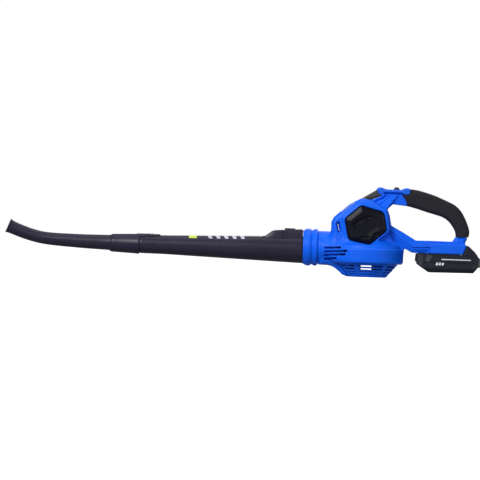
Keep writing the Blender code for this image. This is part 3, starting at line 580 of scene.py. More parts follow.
def keep_largest(ob):
    """Drop specks that are smaller than the main body."""
    me = ob.data
    n = len(me.vertices)
    e = np.empty(len(me.edges) * 2, np.int32)
    me.edges.foreach_get("vertices", e)
    e = e.reshape(-1, 2)
    lab = np.arange(n, dtype=np.int32)
    while True:
        a = np.minimum(lab[e[:, 0]], lab[e[:, 1]])
        new = lab.copy()
        np.minimum.at(new, lab[e[:, 0]], a)
        np.minimum.at(new, lab[e[:, 1]], a)
        while True:
            hop = new[new]
            if (hop == new).all():
                break
            new = hop
        if (new == lab).all():
            break
        lab = new
    u, c = np.unique(lab, return_counts=True)
    if len(u) > 1:
        keep = u[c.argmax()]
        bm = bmesh.new()
        bm.from_mesh(me)
        bm.verts.ensure_lookup_table()
        bmesh.ops.delete(bm, geom=[bm.verts[i] for i in np.nonzero(lab != keep)[0]], context="VERTS")
        bm.to_mesh(me)
        bm.free()


# =============================================================== outlet collar
def collar():
    P = fillet([(30.3, -115.0), (31.0, -112.0), (32.2, -110.6), (33.3, -108.0), (33.5, -105.4), (33.3, -102.8),
                (32.2, -100.6), (30.7, -99.4), (30.7, -97.6), (32.2, -96.4), (33.1, -94.4), (33.2, -92.4), (33.0, -90.4),
                (32.0, -88.9), (30.6, -88.4), (26.9, -88.35), (26.9, -80.2)], 1.2)
    P = [(29.2, -115.0)] + P
    ob = turned(P, "outlet_collar_rings", 144, "X", (0.0, DUCT_Z))
    boolean(ob, turned([(24.5, -120.0), (24.5, -92.0)], "cut", 96, "X", (0.0, TUBE_Z)))
    boolean(ob, turned([(24.2, -93.0), (24.2, -70.0)], "cut", 96, "X", (0.0, DUCT_Z)))
    boolean(ob, box(-120.0, -104.0, -5.5, 5.5, 66.0, 79.2))
    bevelled(ob, 0.35, 2, 50)
    return smooth(ob, 40)


# =============================================================== intake guard
GUARD_ROWS = ((19.9, 3.1, -0.1), (14.7, 2.9, -0.1), (9.6, 2.8, -0.85), (4.9, 2.5, -0.85))


def guard():
    h = 0.62
    g = Grid((-61, -61, -2), (61, 61, 31), h)
    x, y, z = g.x, g.y, g.z
    prof = [(-5.0, 0.0), (35.6, 0.0), (37.4, 1.4), (56.6, 23.7), (56.3, 24.1), (54.7, 24.1), (54.7, 27.1), (58.4, 27.1),
            (58.4, 28.7), (52.4, 28.7), (52.4, 23.4), (34.6, 2.6), (-5.0, 2.6)]
    D = drum_field(x, y, z, prof, 0.35)
    R = np.sqrt(x * x + y * y)
    ang = np.degrees(np.arctan2(y, x)).astype(F)
    spoke = np.abs((ang - 9.0 + 30.0) % 60.0 - 30.0)               # degrees from the nearest rib
    rib = (3.4 - R * np.sin(np.radians(spoke)))                      # negative beyond the rib's half width
    front = np.maximum(np.abs(y) - 25.5, x)                         # keep the wall whole below the duct
    front = np.where(x < 0, 25.5 - np.abs(y), -99.0)
    for zc, hh, tilt in GUARD_ROWS:
        r0 = 37.4 + 19.2 * zc / 23.7
        zz = z - zc - tilt * (R - r0 + 1.2)
        band = np.maximum(np.abs(zz) / math.sqrt(1 + tilt * tilt) - hh / 2 / math.sqrt(1 + tilt * tilt), r0 - 8.0 - R)
        s = smax(band, rib, 1.2)
        s = smax(s, front, 1.0)
        D = smax(D, -s, 0.5)
    # webs stand behind the ribs
    cone = 0.761 * (R - 37.0) - 0.649 * (z - 1.2)
    web = np.maximum(np.maximum(R * np.sin(np.radians(spoke)) - 1.0, 30.0 - R), np.maximum(np.abs(z - 12.2) - 10.6, cone))
    D = np.minimum(D, web)
    ob = surface(D, g, "intake_guard_basket")
    keep_largest(ob)
    thin(ob, 120000)
    return smooth(ob, 180)


# =============================================================== hexagonal covers
def hex_cover(side, name):
    h = 0.5
    g = Grid((-44, 28.5, 55), (39, 40, 132), h)
    x, y, z = g.x, g.y, g.z
    d = rpoly(x, z, HEX, 9.0)
    face = 38.3 - 3.4 * np.clip(1 + (d + 0.4) / 9.0, 0, 1) ** 1.15                 # sloping rim
    # broad facets fall away from a ridge towards the middle of the cover
    tilt = np.clip(-(d + 5.0) / 12.0, 0, 1)
    lean = np.clip((-(x + 6.0) * 0.55 + (z - 96.0) * 0.84) / 22.0, 0, 1)
    face = face - 2.2 * tilt * (1 - lean * 0.9)
    # scooped pockets with a steep upper lip
    for cx, cz, a, b, rot, dep in ((-17.5, 99.0, 13.5, 4.0, 28.0, 2.6), (-1.0, 107.5, 8.0, 2.6, 12.0, 1.6), (-6.5, 71.0, 11.0, 3.4, 8.0, 2.3),
                                   (15.0, 76.5, 9.0, 4.2, 42.0, 2.2), (-24.0, 90.0, 8.0, 1.6, -8.0, 1.2)):
        c, s = math.cos(math.radians(rot)), math.sin(math.radians(rot))
        u = ((x - cx) * c + (z - cz) * s) / a
        v = (-(x - cx) * s + (z - cz) * c) / b
        e = 1 - (u * u + v * v)
        k = np.clip(e / 0.5, 0, 1)
        face = face - dep * k * k * (3 - 2 * k)
    top = (y - face) * 0.8
    D = smax(d + 0 * y, top, 0.6)
    D = smax(D, 29.5 - y, 0.5)
    D = smax(D, -np.maximum(rpoly(x, z, inset(HEX, 2.4), 3.5), y - (face - 2.3)), 0.5)
    ob = surface(D, g, name)
    keep_largest(ob)
    if side < 0:
        mirror_y(ob)
    thin(ob, 120000)
    return smooth(ob, 180)


# =============================================================== soft sleeve, pad, trim and slider
def sleeve():
    h = 0.75
    g = Grid((56, -18.5, 75), (186, 18.5, 164), h)
    x, y, z = g.x, g.y, g.z
    ay = np.abs(y)
    top = spline(GRIP_TOP, 4)
    bot = [GRIP_BOT[0]] + spline(GRIP_BOT[1:], 4)
    outline = top + bot[::-1] + [(63.5, 150.3), (74.5, 151.4)]
    d = poly2(x, z, outline)
    side = ext(poly2(x, z, [(75.0, 175.0)] + top[1:] + [(181.0, 60.0)] + [(158.6, 60.0)] + bot[::-1][1:-1] + [(58.0, 151.0), (58.0, 175.0)]), ay - 16.6, 8.2)
    D = smax(side, d + 0 * y, 0.8)
    top2 = shift_line(GRIP_TOP, -3.05)
    bot2 = shift_line(GRIP_BOT[1:], 3.05)
    hole = ([(30.0, 147.6), (66.0, 146.95), (75.9, 147.95), (79.6, 157.5)] + top2[1:]
            + [(top2[-1][0] - 1.0, 60.0), (bot2[-1][0] - 0.1, 60.0)] + bot2[::-1] + [(62.0, 136.0), (30.0, 134.0)])
    core = ext(poly2(x, z, hole), ay - (CORE_W + GAP), 3.0)
    D = np.maximum(D, -core)
    ob = surface(D, g, "grip_rubber")
    keep_largest(ob)
    thin(ob, 150000)
    return smooth(ob, 60)


def front_pad():
    h = 0.5
    g = Grid((-15, -18.5, 136), (25, 18.5, 159.5), h)
    x, y, z = g.x, g.y, g.z
    D = ext(rpoly(x, z, PAD_LINE, 0.6), np.abs(y) - 16.6, 4.6)
    # shallow cross grooves on the sloping top
    for i in range(7):
        t = (i + 1) / 8.0
        xc, zc = -12.2 + 25.2 * t, 141.8 + 15.6 * t
        D = smax(D, -(np.sqrt((x - xc) ** 2 + (z - zc) ** 2) - 0.75 + 0 * y + np.maximum(np.abs(y) - 12.5, 0)), 0.4)
    ob = surface(D, g, "front_pad_rubber")
    keep_largest(ob)
    thin(ob, 60000)
    return smooth(ob, 180)


def trim():
    h = 0.5
    g = Grid((12, -17.5, 149), (77, 17.5, 165), h)
    x, y, z = g.x, g.y, g.z
    ay = np.abs(y)
    outline = [(13.9, 157.5), (14.3, 160.0), (16.6, 161.9), (21.0, 162.8), (24.8, 162.0), (28.6, 160.2), (33.0, 159.5), (43.3, 159.3),
               (58.0, 159.5), (61.0, 160.8), (64.6, 162.3), (69.0, 162.8), (72.8, 162.2), (74.8, 159.8), (74.2, 151.0),
               (63.5, 149.9), (58.0, 150.6), (27.0, 150.6), (24.4, 149.2), (22.4, 147.6), (17.0, 150.7)]
    D = ext(rpoly(x, z, outline, 0.8), ay - 15.8, 3.2)
    # undercut below the middle of the bar
    cutout = rpoly(x, z, [(25.5, 148.0), (27.5, 154.4), (58.6, 154.6), (62.8, 152.4), (62.8, 148.0)], 0.6)
    D = smax(D, -np.maximum(cutout, 15.4 - 1.5 * np.clip(154.4 - z, 0, 4) - ay), 0.5)
    D = np.maximum(D, -np.maximum(rbox(x - 44.15, y, 10.65, 3.2, 1.0) + 0 * z, 140.0 - z))
    D = smax(D, -np.maximum(rbox(x - 44.0, y, 14.5, 9.5, 2.5) + 0 * z, 158.2 - z), 0.6)
    ob = surface(D, g, "switch_trim")
    keep_largest(ob)
    thin(ob, 90000)
    return smooth(ob, 180)


def slider():
    h = 0.32
    g = Grid((42, -9, 147), (57.5, 9, 165), h)
    x, y, z = g.x, g.y, g.z
    ay = np.abs(y)
    prof = spline([(44.2, 158.6), (45.0, 161.6), (46.8, 163.3), (49.8, 163.9), (53.0, 163.3), (54.8, 161.4), (55.4, 158.6)], 5)
    D = ext(poly2(x, z, prof), ay - 7.6, 2.4)
    for xc in (46.6, 48.7, 50.8, 52.9):
        zt = 163.9 - 0.11 * (xc - 49.8) ** 2
        D = smax(D, -(np.sqrt((x - xc) ** 2 + (z - zt - 0.15) ** 2) - 0.55 + 0 * y + np.maximum(ay - 5.6, 0)), 0.25)
    stem = np.maximum(np.maximum(np.abs(x - 49.5) - 2.5, ay - 2.7), np.abs(z - 154.4) - 5.6)
    D = np.minimum(D, stem)
    ob = surface(D, g, "speed_slider")
    keep_largest(ob)
    thin(ob, 60000)
    return smooth(ob, 60)


# =============================================================== blow tube and latch
TUBE = [(-92.5, 24.0, 22.0), (-115.5, 24.0, 22.2), (-116.0, 24.35, 22.3), (-150.0, 23.4, 21.3), (-183.9, 22.45, 20.4),
        (-228.8, 21.15, 19.1), (-300.8, 19.0, 17.0), (-363.8, 17.1, 15.1), (-408.5, 16.7, 14.4),
        (-408.6, 15.8, 14.0), (-455.0, 14.0, 12.2)]


def tube():
    segs = 160
    xs = [-92.5, -93.2] + [-96.0, -106.0, -115.4, -115.6, -116.2]
    xs += [-118.0 - 2.0 * i for i in range(0, 35)]
    xs += [-190.0 - 10.0 * i for i in range(0, 22)] + [-404.0, -407.6, -408.3, -408.5, -408.8, -412.0, -430.0, -453.8, -455.0]

    def radii(x):
        for (xa, oa, ia), (xb, ob, ib) in zip(TUBE[:-1], TUBE[1:]):
            if xb <= x <= xa:
                t = (xa - x) / (xa - xb)
                return oa + (ob - oa) * t, ia + (ib - ia) * t
        return TUBE[-1][1:]

    def hump(x):
        """Height of the latch housing above the round tube at its top."""
        pts = [(-186.5, 0.0), (-183.0, 0.4), (-178.0, 4.3), (-172.5, 8.4), (-168.5, 10.2), (-163.0, 10.9), (-117.2, 12.55), (-116.2, 12.0)]
        if x <= pts[0][0] or x > -116.0:
            return 0.0
        for (xa, va), (xb, vb) in zip(pts[:-1], pts[1:]):
            if x <= xb:
                return va + (vb - va) * (x - xa) / (xb - xa)
        return pts[-1][1]

    outer, inner = [], []
    for x in xs:
        ro, ri = radii(x)
        if x == -93.2:
            ro = 24.0
        if x == -92.5:
            ro = 23.4
        if x in (-408.3,):
            ro = 16.5
        hh = hump(x)
        o, i = [], []
        for k in range(segs):
            a = 2 * math.pi * k / segs
            sy, cz = math.sin(a), math.cos(a)
            y, z = ro * sy, ro * cz
            if hh > 0.01 and cz > 0:
                # rounded-box housing on top of the tube, 26 mm wide
                ztop = ro + hh
                u = abs(y)
                side = 13.0
                edge = max(0.0, u - (side - 4.0))
                if u < side:
                    box_z = ztop - (4.0 - math.sqrt(max(16.0 - edge * edge, 0.0)))
                    z = max(z, box_z if u < side - 0.02 else z)
                else:
                    f = math.exp(-(u - side) / 1.1)
                    z = z + 0.0 * f
            o.append((x, y, TUBE_Z + z))
            i.append((x, ri * sy, TUBE_Z + ri * cz))
        outer.append(o)
        inner.append(i)
    ob = loft(outer + inner[::-1], "blow_tube_shell", wrap=True)
    boolean(ob, box(-149.1, -129.1, -8.4, 8.4, 70.4, 95.0))
    boolean(ob, box(-131.0, -110.0, -5.5, 5.5, 72.6, 79.3))
    return smooth(ob, 38)


def latch_button():
    ob = box(-148.7, -129.5, -8.0, 8.0, 76.0, 83.1, "latch_button_cap")
    bevelled(ob, 1.1, 4)
    for i in range(4):
        c = turned([(0.55, -6.3), (0.75, -6.0), (0.75, 6.0), (0.55, 6.3)], "cut", 20, "Y", (-143.6 + 3.0 * i, 83.45))
        boolean(ob, c)
    tng = box(-131.0, -106.0, -4.9, 4.9, 76.3, 78.7)
    bevelled(tng, 0.4, 2)
    boolean(ob, tng, "UNION")
    return smooth(ob, 35)


def spring():
    pts = []
    turns, seg = 3.0, 36
    for i in range(int(turns * seg) + 1):
        a = 2 * math.pi * i / seg
        pts.append(Vector((-139.1 + 3.4 * math.cos(a), 3.4 * math.sin(a), 71.1 + 4.1 * i / (turns * seg))))
    rings, up = [], Vector((0, 0, 1))
    for i, p in enumerate(pts):
        t = (pts[min(i + 1, len(pts) - 1)] - pts[max(i - 1, 0)]).normalized()
        u = (up - t * up.dot(t)).normalized()
        v = t.cross(u)
        rings.append([p + u * (0.35 * math.cos(2 * math.pi * k / 12)) + v * (0.35 * math.sin(2 * math.pi * k / 12)) for k in range(12)])
    return smooth(loft(rings, "latch_coil"), 50)


# =============================================================== nozzle
NOZ = [(-409.0, 45.2, 18.1, 16.15), (-411.5, 45.2, 18.3, 16.1), (-413.0, 45.2, 17.95, 16.0), (-456.0, 45.3, 16.2, 14.4),
       (-460.5, 45.4, 15.6, 13.6), (-463.5, 45.6, 13.7, 12.0), (-485.0, 45.8, 13.2, 11.5), (-507.8, 46.1, 12.65, 10.95),
       (-530.0, 46.8, 12.15, 10.45), (-552.8, 47.6, 11.65, 9.95), (-570.8, 48.7, 11.3, 9.6),
       (-588.5, 50.9, 11.1, 9.4), (-607.0, 55.4, 11.2, 9.5), (-625.0, 61.3, 11.4, 9.7), (-637.5, 66.1, 11.6, 9.9),
       (-643.0, 68.4, 12.3, 10.6), (-646.6, 69.9, 13.1, 11.6)]


def catmull(pts, sub):
    out = []
    q = [2 * np.array(pts[0]) - np.array(pts[1])] + [np.array(p) for p in pts] + [2 * np.array(pts[-1]) - np.array(pts[-2])]
    for i in range(1, len(q) - 2):
        p0, p1, p2, p3 = q[i - 1:i + 3]
        for s in range(sub):
            t = s / sub
            out.append(0.5 * ((2 * p1) + (p2 - p0) * t + (2 * p0 - 5 * p1 + 4 * p2 - p3) * t * t
                              + (3 * p1 - p0 - 3 * p2 + p3) * t ** 3))
    out.append(q[-2])
    return out


def nozzle():
    segs = 128
    path = [np.array(p) for p in ((-409.0, 45.2, 17.6, 16.6), (-409.35, 45.2, 18.05, 16.2), (-411.5, 45.2, 18.3, 16.1), (-412.7, 45.2, 18.15, 16.05), (-413.2, 45.2, 17.95, 16.0),
                                  (-456.0, 45.3, 16.2, 14.4), (-458.4, 45.35, 16.0, 14.2), (-460.2, 45.4, 15.4, 13.5), (-461.6, 45.5, 14.4, 12.6), (-462.6, 45.55, 13.9, 12.1), (-463.8, 45.6, 13.7, 12.0))]
    path += catmull(NOZ[6:], 5)
    path[-1] = np.array((-646.3, 69.78, 12.95, 11.75))
    path.insert(-1, np.array((-645.7, 69.55, 13.0, 11.3)))
    outer, inner = [], []
    n = len(path)
    for i, (x, z, ro, ri) in enumerate(path):
        a, b = path[max(i - 1, 0)], path[min(i + 1, n - 1)]
        t = Vector((b[0] - a[0], 0, b[1] - a[1])).normalized()
        nv = Vector((-t.z, 0, t.x))
        for r, dst in ((ro, outer), (ri, inner)):
            dst.append([Vector((x, 0, z)) + nv * (r * math.sin(2 * math.pi * k / segs))
                        + Vector((0, 1, 0)) * (r * math.cos(2 * math.pi * k / segs)) for k in range(segs)])
    ob = loft(outer + inner[::-1], "curved_nozzle", wrap=True)
    # snap tongue that reaches back over the tube
    rings = []
    for x, hw, lift in ((-414.0, 12.0, 0.0), (-404.0, 11.8, 0.0), (-393.0, 11.0, 0.0), (-391.8, 10.9, 0.45), (-390.8, 10.8, 0.45), (-389.6, 10.7, 0.0),
                        (-387.4, 10.4, 0.0), (-386.4, 10.3, 0.45), (-385.4, 10.2, 0.45), (-384.2, 10.0, 0.0), (-380.0, 9.2, 0.0), (-376.0, 8.0, 0.0), (-373.4, 6.4, -0.1), (-372.2, 4.6, -0.5)):
        ring, m = [], 14
        for r, order in ((19.0 + lift, 1), (17.45, -1)):
            for i in range(m + 1):
                a = math.asin(hw / r) * (2.0 * i / m - 1.0) * order
                ring.append((x, r * math.sin(a), TUBE_Z + r * math.cos(a)))
        rings.append(ring)
    boolean(ob, loft(rings, "tongue"), "UNION")
    return smooth(ob, 34)


# =============================================================== battery
BATT = [(88.9, 46.5), (87.4, 34.2), (91.4, 26.8), (112.5, 12.8), (192.0, 13.9), (199.6, 23.5),
        (201.5, 41.4), (193.7, 52.0), (179.7, 64.4), (172.8, 46.5)]
SPLIT = 30.6


def battery():
    h = 0.7
    g = Grid((85.5, -39.5, 11), (203.5, 39.5, 66.5), h)
    x, y, z = g.x, g.y, g.z
    ay = np.abs(y)
    out = ext(rpoly(x, z, BATT, 2.0), ay - 37.5, 1.8)
    # sloping lower flanks, a sloping shoulder and a bevelled front corner
    out = smax(out, (ay - 37.5) * 0.80 + (21.5 - z) * 0.60, 1.2)
    out = smax(out, (ay - 37.5) * 0.62 + (91.5 - x) * 0.78, 1.2)
    b_in = out + 2.3
    panel = rpoly(x, z, [(119.5, 44.6), (106.5, 27.5), (118.0, 19.4), (188.0, 20.0), (194.0, 26.0), (195.5, 40.0), (187.0, 44.6)], 2.0)
    out = smax(out, -np.maximum(panel, 36.9 - ay), 0.5)
    seam = np.maximum(np.abs(z - SPLIT) - 0.35, -(out + 0.7))
    skin = smax(out, -seam, 0.4)
    win = np.maximum(np.maximum(np.abs(x - 202.5) - 12.5, ay - 11.4), np.abs(z - 32.7) - 9.5)
    rail = np.minimum(np.maximum(np.maximum(np.abs(x - 142.1) - 25.9, ay - 19.0), np.abs(z - 47.8) - 2.8),
                      np.maximum(np.maximum(np.abs(x - 142.1) - 25.9, ay - 23.5), np.abs(z - 52.2) - 1.8))
    nose = rbox(x - 104.0 + 0 * z, y, 12.0, 8.0, 2.0)
    nose = np.maximum(nose, np.abs(z - 44.0) - 3.8)
    upper = np.minimum(np.minimum(skin, rail), nose)
    upper = np.maximum(upper, -b_in)
    for yc in (-9.0, 9.0):
        upper = np.maximum(upper, -np.maximum(np.maximum(x - 128.5, np.abs(y - yc) - 1.2), 51.6 - z))
    upper = np.maximum(np.maximum(upper, SPLIT + 0.18 - z), -win)
    lower = np.maximum(np.maximum(skin, -b_in), z - SPLIT + 0.18)
    # tongue that closes the joint line from the inside
    tongue = np.maximum(np.abs(out + 3.1) - 0.7, np.abs(z - SPLIT + 0.2) - 2.2)
    ledge = np.maximum(np.abs(out + 2.6) - 1.2, np.abs(z - SPLIT + 1.5) - 0.8)
    lower = np.maximum(np.minimum(np.minimum(lower, tongue), ledge), -win)
    obs = []
    for D, name in ((upper, "battery_top_shell"), (lower, "battery_bottom_shell")):
        ob = surface(D, g, name)
        keep_largest(ob)
        thin(ob, 120000)
        obs.append(smooth(ob, 180))
    return obs


def release_button():
    h = 0.4
    g = Grid((196, -12.5, 22.5), (210.5, 12.5, 43), h)
    x, y, z = g.x, g.y, g.z
    D = ext(rpoly(x, z, [(197.4, 24.2), (208.2, 24.2), (208.9, 25.4), (208.9, 40.4), (208.2, 41.5), (197.4, 41.5)], 0.6), np.abs(y) - 11.0, 2.0)
    D = smax(D, -(np.sqrt((x - 214.5) ** 2 + (z - 33.0) ** 2 + 0 * y) - 7.2), 0.8)
    for zc in (28.2, 30.6, 33.0, 35.4, 37.8):
        D = smax(D, -np.maximum(np.abs(z - zc) - 0.35 + 0 * x, np.maximum(np.abs(y) - 7.5, 206.0 - x)), 0.3)
    ob = surface(D, g, "battery_release")
    keep_largest(ob)
    thin(ob, 50000)
    return smooth(ob, 60)


# =============================================================== impeller
def impeller():
    segs = 120
    fan = turned(fillet([(7.5, 33.0), (9.5, 34.5), (10.5, 44.4), (12.6, 46.5), (50.0, 46.5), (50.0, 48.3), (7.5, 48.3)], 0.6), "fan_wheel", segs)
    for k in range(9):
        a0 = 2 * math.pi * k / 9
        n, c = 14, []
        for i in range(n):
            t = i / (n - 1)
            r = 9.0 + 40.0 * t
            a = a0 - 0.95 * t
            c.append(Vector((r * math.cos(a), r * math.sin(a))))
        rings = []
        for i in range(n):
            d = (c[min(i + 1, n - 1)] - c[max(i - 1, 0)]).normalized()
            nv = Vector((-d.y, d.x))
            z0 = 33.5 - 2.5 * min(1.0, max(0.0, (i - 2) / 4.0))
            p, q = c[i] + nv * 0.8, c[i] - nv * 0.8
            rings.append([(p.x, p.y, z0), (p.x, p.y, 47.2), (q.x, q.y, 47.2), (q.x, q.y, z0)])
        boolean(fan, loft(rings, "blade"), "UNION")
    boolean(fan, turned([(2.95, 20.0), (2.95, 60.0)], "cut", 32))
    return smooth(fan, 35)


# =============================================================== cross-head screws
def screws():
    obs = []
    for i, (sx, sz) in enumerate(SCREWS):
        s = turned(fillet([(0.01, 10.0), (2.2, 10.0), (3.2, 9.4), (3.3, 7.4), (1.6, 7.35), (1.6, -7.9), (0.5, -9.2), (0.01, -9.2)], 0.3), "body_screw_%d" % (i + 1), 40, "Y", (sx, sz))
        rot = 0.35 * (i + 1)
        for k in (0, 1):
            a = rot + k * math.pi / 2
            c, n = math.cos(a), math.sin(a)
            pts = [(-1.9, -0.4), (1.9, -0.4), (1.9, 0.4), (-1.9, 0.4)]
            boolean(s, loft([[(sx + u * c - v * n, yy, sz + u * n + v * c) for u, v in pts] for yy in (8.6, 11.0)], "cut"))
        obs.append(smooth(s, 35))
    return obs


# =============================================================== plain marks
def on_tube(x):
    for (xa, oa, ia), (xb, ob, ib) in zip(TUBE[:-1], TUBE[1:]):
        if xb <= x <= xa:
            return oa + (ob - oa) * (xa - x) / (xa - xb)
    return TUBE[-1][1]


def tube_mark(name, x_left, x_right, a0=-43.0, a1=43.0, steps=28):
    """A printed shape on top of the tube; x_left and x_right give its edges at each angle."""
    rings = []
    for i in range(steps + 1):
        a = math.radians(a0 + (a1 - a0) * i / steps)
        ring = []
        for x, lift in ((x_left(a), -0.05), (x_right(a), -0.05), (x_right(a), 0.09), (x_left(a), 0.09)):
            r = on_tube(x) + lift
            ring.append((x, r * math.sin(a), TUBE_Z + r * math.cos(a)))
        rings.append(ring)
    return smooth(loft(rings, name), 30)


def flat_mark(name, poly, y0, y1, r=0.5):
    ob = loft([[(x, y, z) for x, z in fillet(poly, r, closed=True)] for y in (y0, y1)], name)
    return smooth(ob, 30)


# =============================================================== materials
def shader(name, base, rough, *, metal=0.0, spec=0.5, coat=0.0, coat_rough=0.1, sheen=0.0, var=0.06, rough_var=0.08,
           grain=900.0, bump=0.02, bump_dist=0.0002, blotch=22.0, wear=0.0, wear_col=None, tint=None, fine=None):
    """Moulded or finished surface: colour and roughness drift, fine grain and slightly worn edges."""
    m = bpy.data.materials.new(name)
    m.use_nodes = True
    nt = m.node_tree
    N, L = nt.nodes, nt.links
    b = N["Principled BSDF"]
    b.inputs["Metallic"].default_value = metal
    b.inputs["Specular IOR Level"].default_value = spec
    b.inputs["Coat Weight"].default_value = coat
    b.inputs["Coat Roughness"].default_value = coat_rough
    b.inputs["Sheen Weight"].default_value = sheen
    tc = N.new("ShaderNodeTexCoord")
    co = tc.outputs["Object"]

    def noise(scale, detail=3.0, rough_=0.55, vec=co):
        n = N.new("ShaderNodeTexNoise")
        n.inputs["Scale"].default_value = scale
        n.inputs["Detail"].default_value = detail
        n.inputs["Roughness"].default_value = rough_
        L.new(vec, n.inputs["Vector"])
        return n.outputs["Fac"]

    def ramp(fac, lo, hi, c0=(0, 0, 0), c1=(1, 1, 1)):
        r = N.new("ShaderNodeValToRGB")
        r.color_ramp.elements[0].position = lo
        r.color_ramp.elements[1].position = hi
        r.color_ramp.elements[0].color = (*c0, 1)
        r.color_ramp.elements[1].color = (*c1, 1)
        L.new(fac, r.inputs["Fac"])
        return r.outputs["Color"]

    def mix(fac, a, c):
        k = N.new("ShaderNodeMix")
        k.data_type = "RGBA"
        L.new(fac, k.inputs["Factor"]) if not isinstance(fac, float) else setattr(k.inputs["Factor"], "default_value", fac)
        for sock, v in ((k.inputs[6], a), (k.inputs[7], c)):
            if isinstance(v, tuple):
                sock.default_value = (*v, 1)
            else:
                L.new(v, sock)
        return k.outputs[2]

    dark = tuple(c * (1 - var) for c in base)
    lite = tuple(min(1.0, c * (1 + var)) for c in (tint or base))
    col = ramp(noise(blotch, 4.0), 0.3, 0.7, dark, lite)
    if wear > 0:
        geo = N.new("ShaderNodeNewGeometry")
        edge = ramp(geo.outputs["Pointiness"], 0.505, 0.58)
        spot = ramp(noise(260.0, 5.0, 0.7), 0.42, 0.66)
        mul = N.new("ShaderNodeMath")
        mul.operation = "MULTIPLY"
        L.new(edge, mul.inputs[0])
        L.new(spot, mul.inputs[1])
        amt = N.new("ShaderNodeMath")
        amt.operation = "MULTIPLY"
        amt.inputs[1].default_value = wear
        L.new(mul.outputs[0], amt.inputs[0])
        col = mix(amt.outputs[0], col, wear_col or tuple(min(1.0, c * 1.6 + 0.03) for c in base))
    L.new(col, b.inputs["Base Color"])
    rr = N.new("ShaderNodeMapRange")
    rr.inputs["To Min"].default_value = max(0.02, rough - rough_var)
    rr.inputs["To Max"].default_value = min(1.0, rough + rough_var)
    L.new(noise(blotch * 3.3, 5.0, 0.65), rr.inputs["Value"])
    L.new(rr.outputs["Result"], b.inputs["Roughness"])
    g = noise(grain, 2.0, 0.5)
    bp = N.new("ShaderNodeBump")
    bp.inputs["Strength"].default_value = bump
    bp.inputs["Distance"].default_value = bump_dist
    L.new(g, bp.inputs["Height"])
    L.new(bp.outputs["Normal"], b.inputs["Normal"])
    if fine == "dots":                                            # moulded stipple of soft rubber
        v = N.new("ShaderNodeTexVoronoi")
        v.inputs["Scale"].default_value = 620.0
        L.new(co, v.inputs["Vector"])
        b2 = N.new("ShaderNodeBump")
        b2.inputs["Strength"].default_value = 0.22
        b2.inputs["Distance"].default_value = 0.0003
        L.new(v.outputs["Distance"], b2.inputs["Height"])
        L.new(bp.outputs["Normal"], b2.inputs["Normal"])
        L.new(b2.outputs["Normal"], b.inputs["Normal"])
    if fine == "brushed":
        w = N.new("ShaderNodeTexNoise")
        mp = N.new("ShaderNodeMapping")
        mp.inputs["Scale"].default_value = (60.0, 60.0, 2600.0)
        L.new(co, mp.inputs["Vector"])
        L.new(mp.outputs["Vector"], w.inputs["Vector"])
        w.inputs["Scale"].default_value = 1.0
        b2 = N.new("ShaderNodeBump")
        b2.inputs["Strength"].default_value = 0.12
        b2.inputs["Distance"].default_value = 0.0001
        L.new(w.outputs["Fac"], b2.inputs["Height"])
        L.new(b2.outputs["Normal"], b.inputs["Normal"])
    return m


BLUE = shader("blue_moulded_plastic", (0.0020, 0.094, 0.68), 0.42, spec=0.14, var=0.05, bump=0.05, grain=1500.0, wear=0.35,
              wear_col=(0.06, 0.24, 0.9))
GLOSS_BLUE = shader("blue_gloss_trim", (0.0020, 0.088, 0.60), 0.32, spec=0.3, var=0.05, bump=0.02, grain=1500.0, coat=0.15, wear=0.15,
                    wear_col=(0.06, 0.24, 0.9))
CHAR = shader("charcoal_satin_plastic", (0.0165, 0.0145, 0.0300), 0.32, spec=0.15, var=0.12, bump=0.07, grain=1100.0, wear=0.35,
              wear_col=(0.06, 0.058, 0.07), rough_var=0.06)
HEXM = shader("black_cover_plastic", (0.0026, 0.0026, 0.0066), 0.38, spec=0.13, var=0.12, bump=0.05, grain=1300.0, wear=0.4,
              wear_col=(0.06, 0.06, 0.065))
BLACK = shader("black_moulded_plastic", (0.012, 0.012, 0.014), 0.42, spec=0.4, var=0.12, bump=0.08, grain=900.0, wear=0.35,
               wear_col=(0.05, 0.05, 0.055))
RUBBER = shader("grip_soft_rubber", (0.0095, 0.0090, 0.0135), 0.66, spec=0.18, var=0.14, bump=0.12, grain=700.0, fine="dots",
                sheen=0.04, wear=0.2, wear_col=(0.04, 0.04, 0.042))
PADM = shader("pad_soft_rubber", (0.033, 0.033, 0.032), 0.7, spec=0.3, var=0.12, bump=0.12, grain=700.0, fine="dots", sheen=0.06,
              wear=0.2, wear_col=(0.07, 0.07, 0.07))
BATTM = shader("battery_case_plastic", (0.0105, 0.0122, 0.0200), 0.46, spec=0.17, var=0.12, bump=0.1, grain=800.0, wear=0.45,
               wear_col=(0.07, 0.07, 0.075))
GREYM = shader("grey_moulded_plastic", (0.21, 0.215, 0.23), 0.45, spec=0.4, var=0.08, bump=0.08, grain=900.0, wear=0.3)
STEEL = shader("zinc_plated_steel", (0.55, 0.55, 0.57), 0.28, metal=1.0, var=0.08, bump=0.04, grain=1400.0, fine="brushed")
ALU = shader("cast_aluminium", (0.66, 0.67, 0.69), 0.42, metal=1.0, var=0.08, bump=0.25, grain=600.0)
COPPER = shader("enamelled_copper", (0.72, 0.30, 0.13), 0.3, metal=1.0, var=0.14, bump=0.2, grain=1600.0)
BRASS = shader("tinned_brass", (0.72, 0.55, 0.27), 0.28, metal=1.0, var=0.08, bump=0.05, grain=1200.0)
FERRITE = shader("ferrite", (0.045, 0.045, 0.05), 0.6, spec=0.4, var=0.15, bump=0.2, grain=900.0)
BOARD = shader("green_circuit_board", (0.012, 0.14, 0.05), 0.35, spec=0.5, var=0.2, bump=0.15, grain=700.0, blotch=90.0)
REDW = shader("red_lead_jacket", (0.5, 0.015, 0.012), 0.42, var=0.08, bump=0.08, grain=800.0)
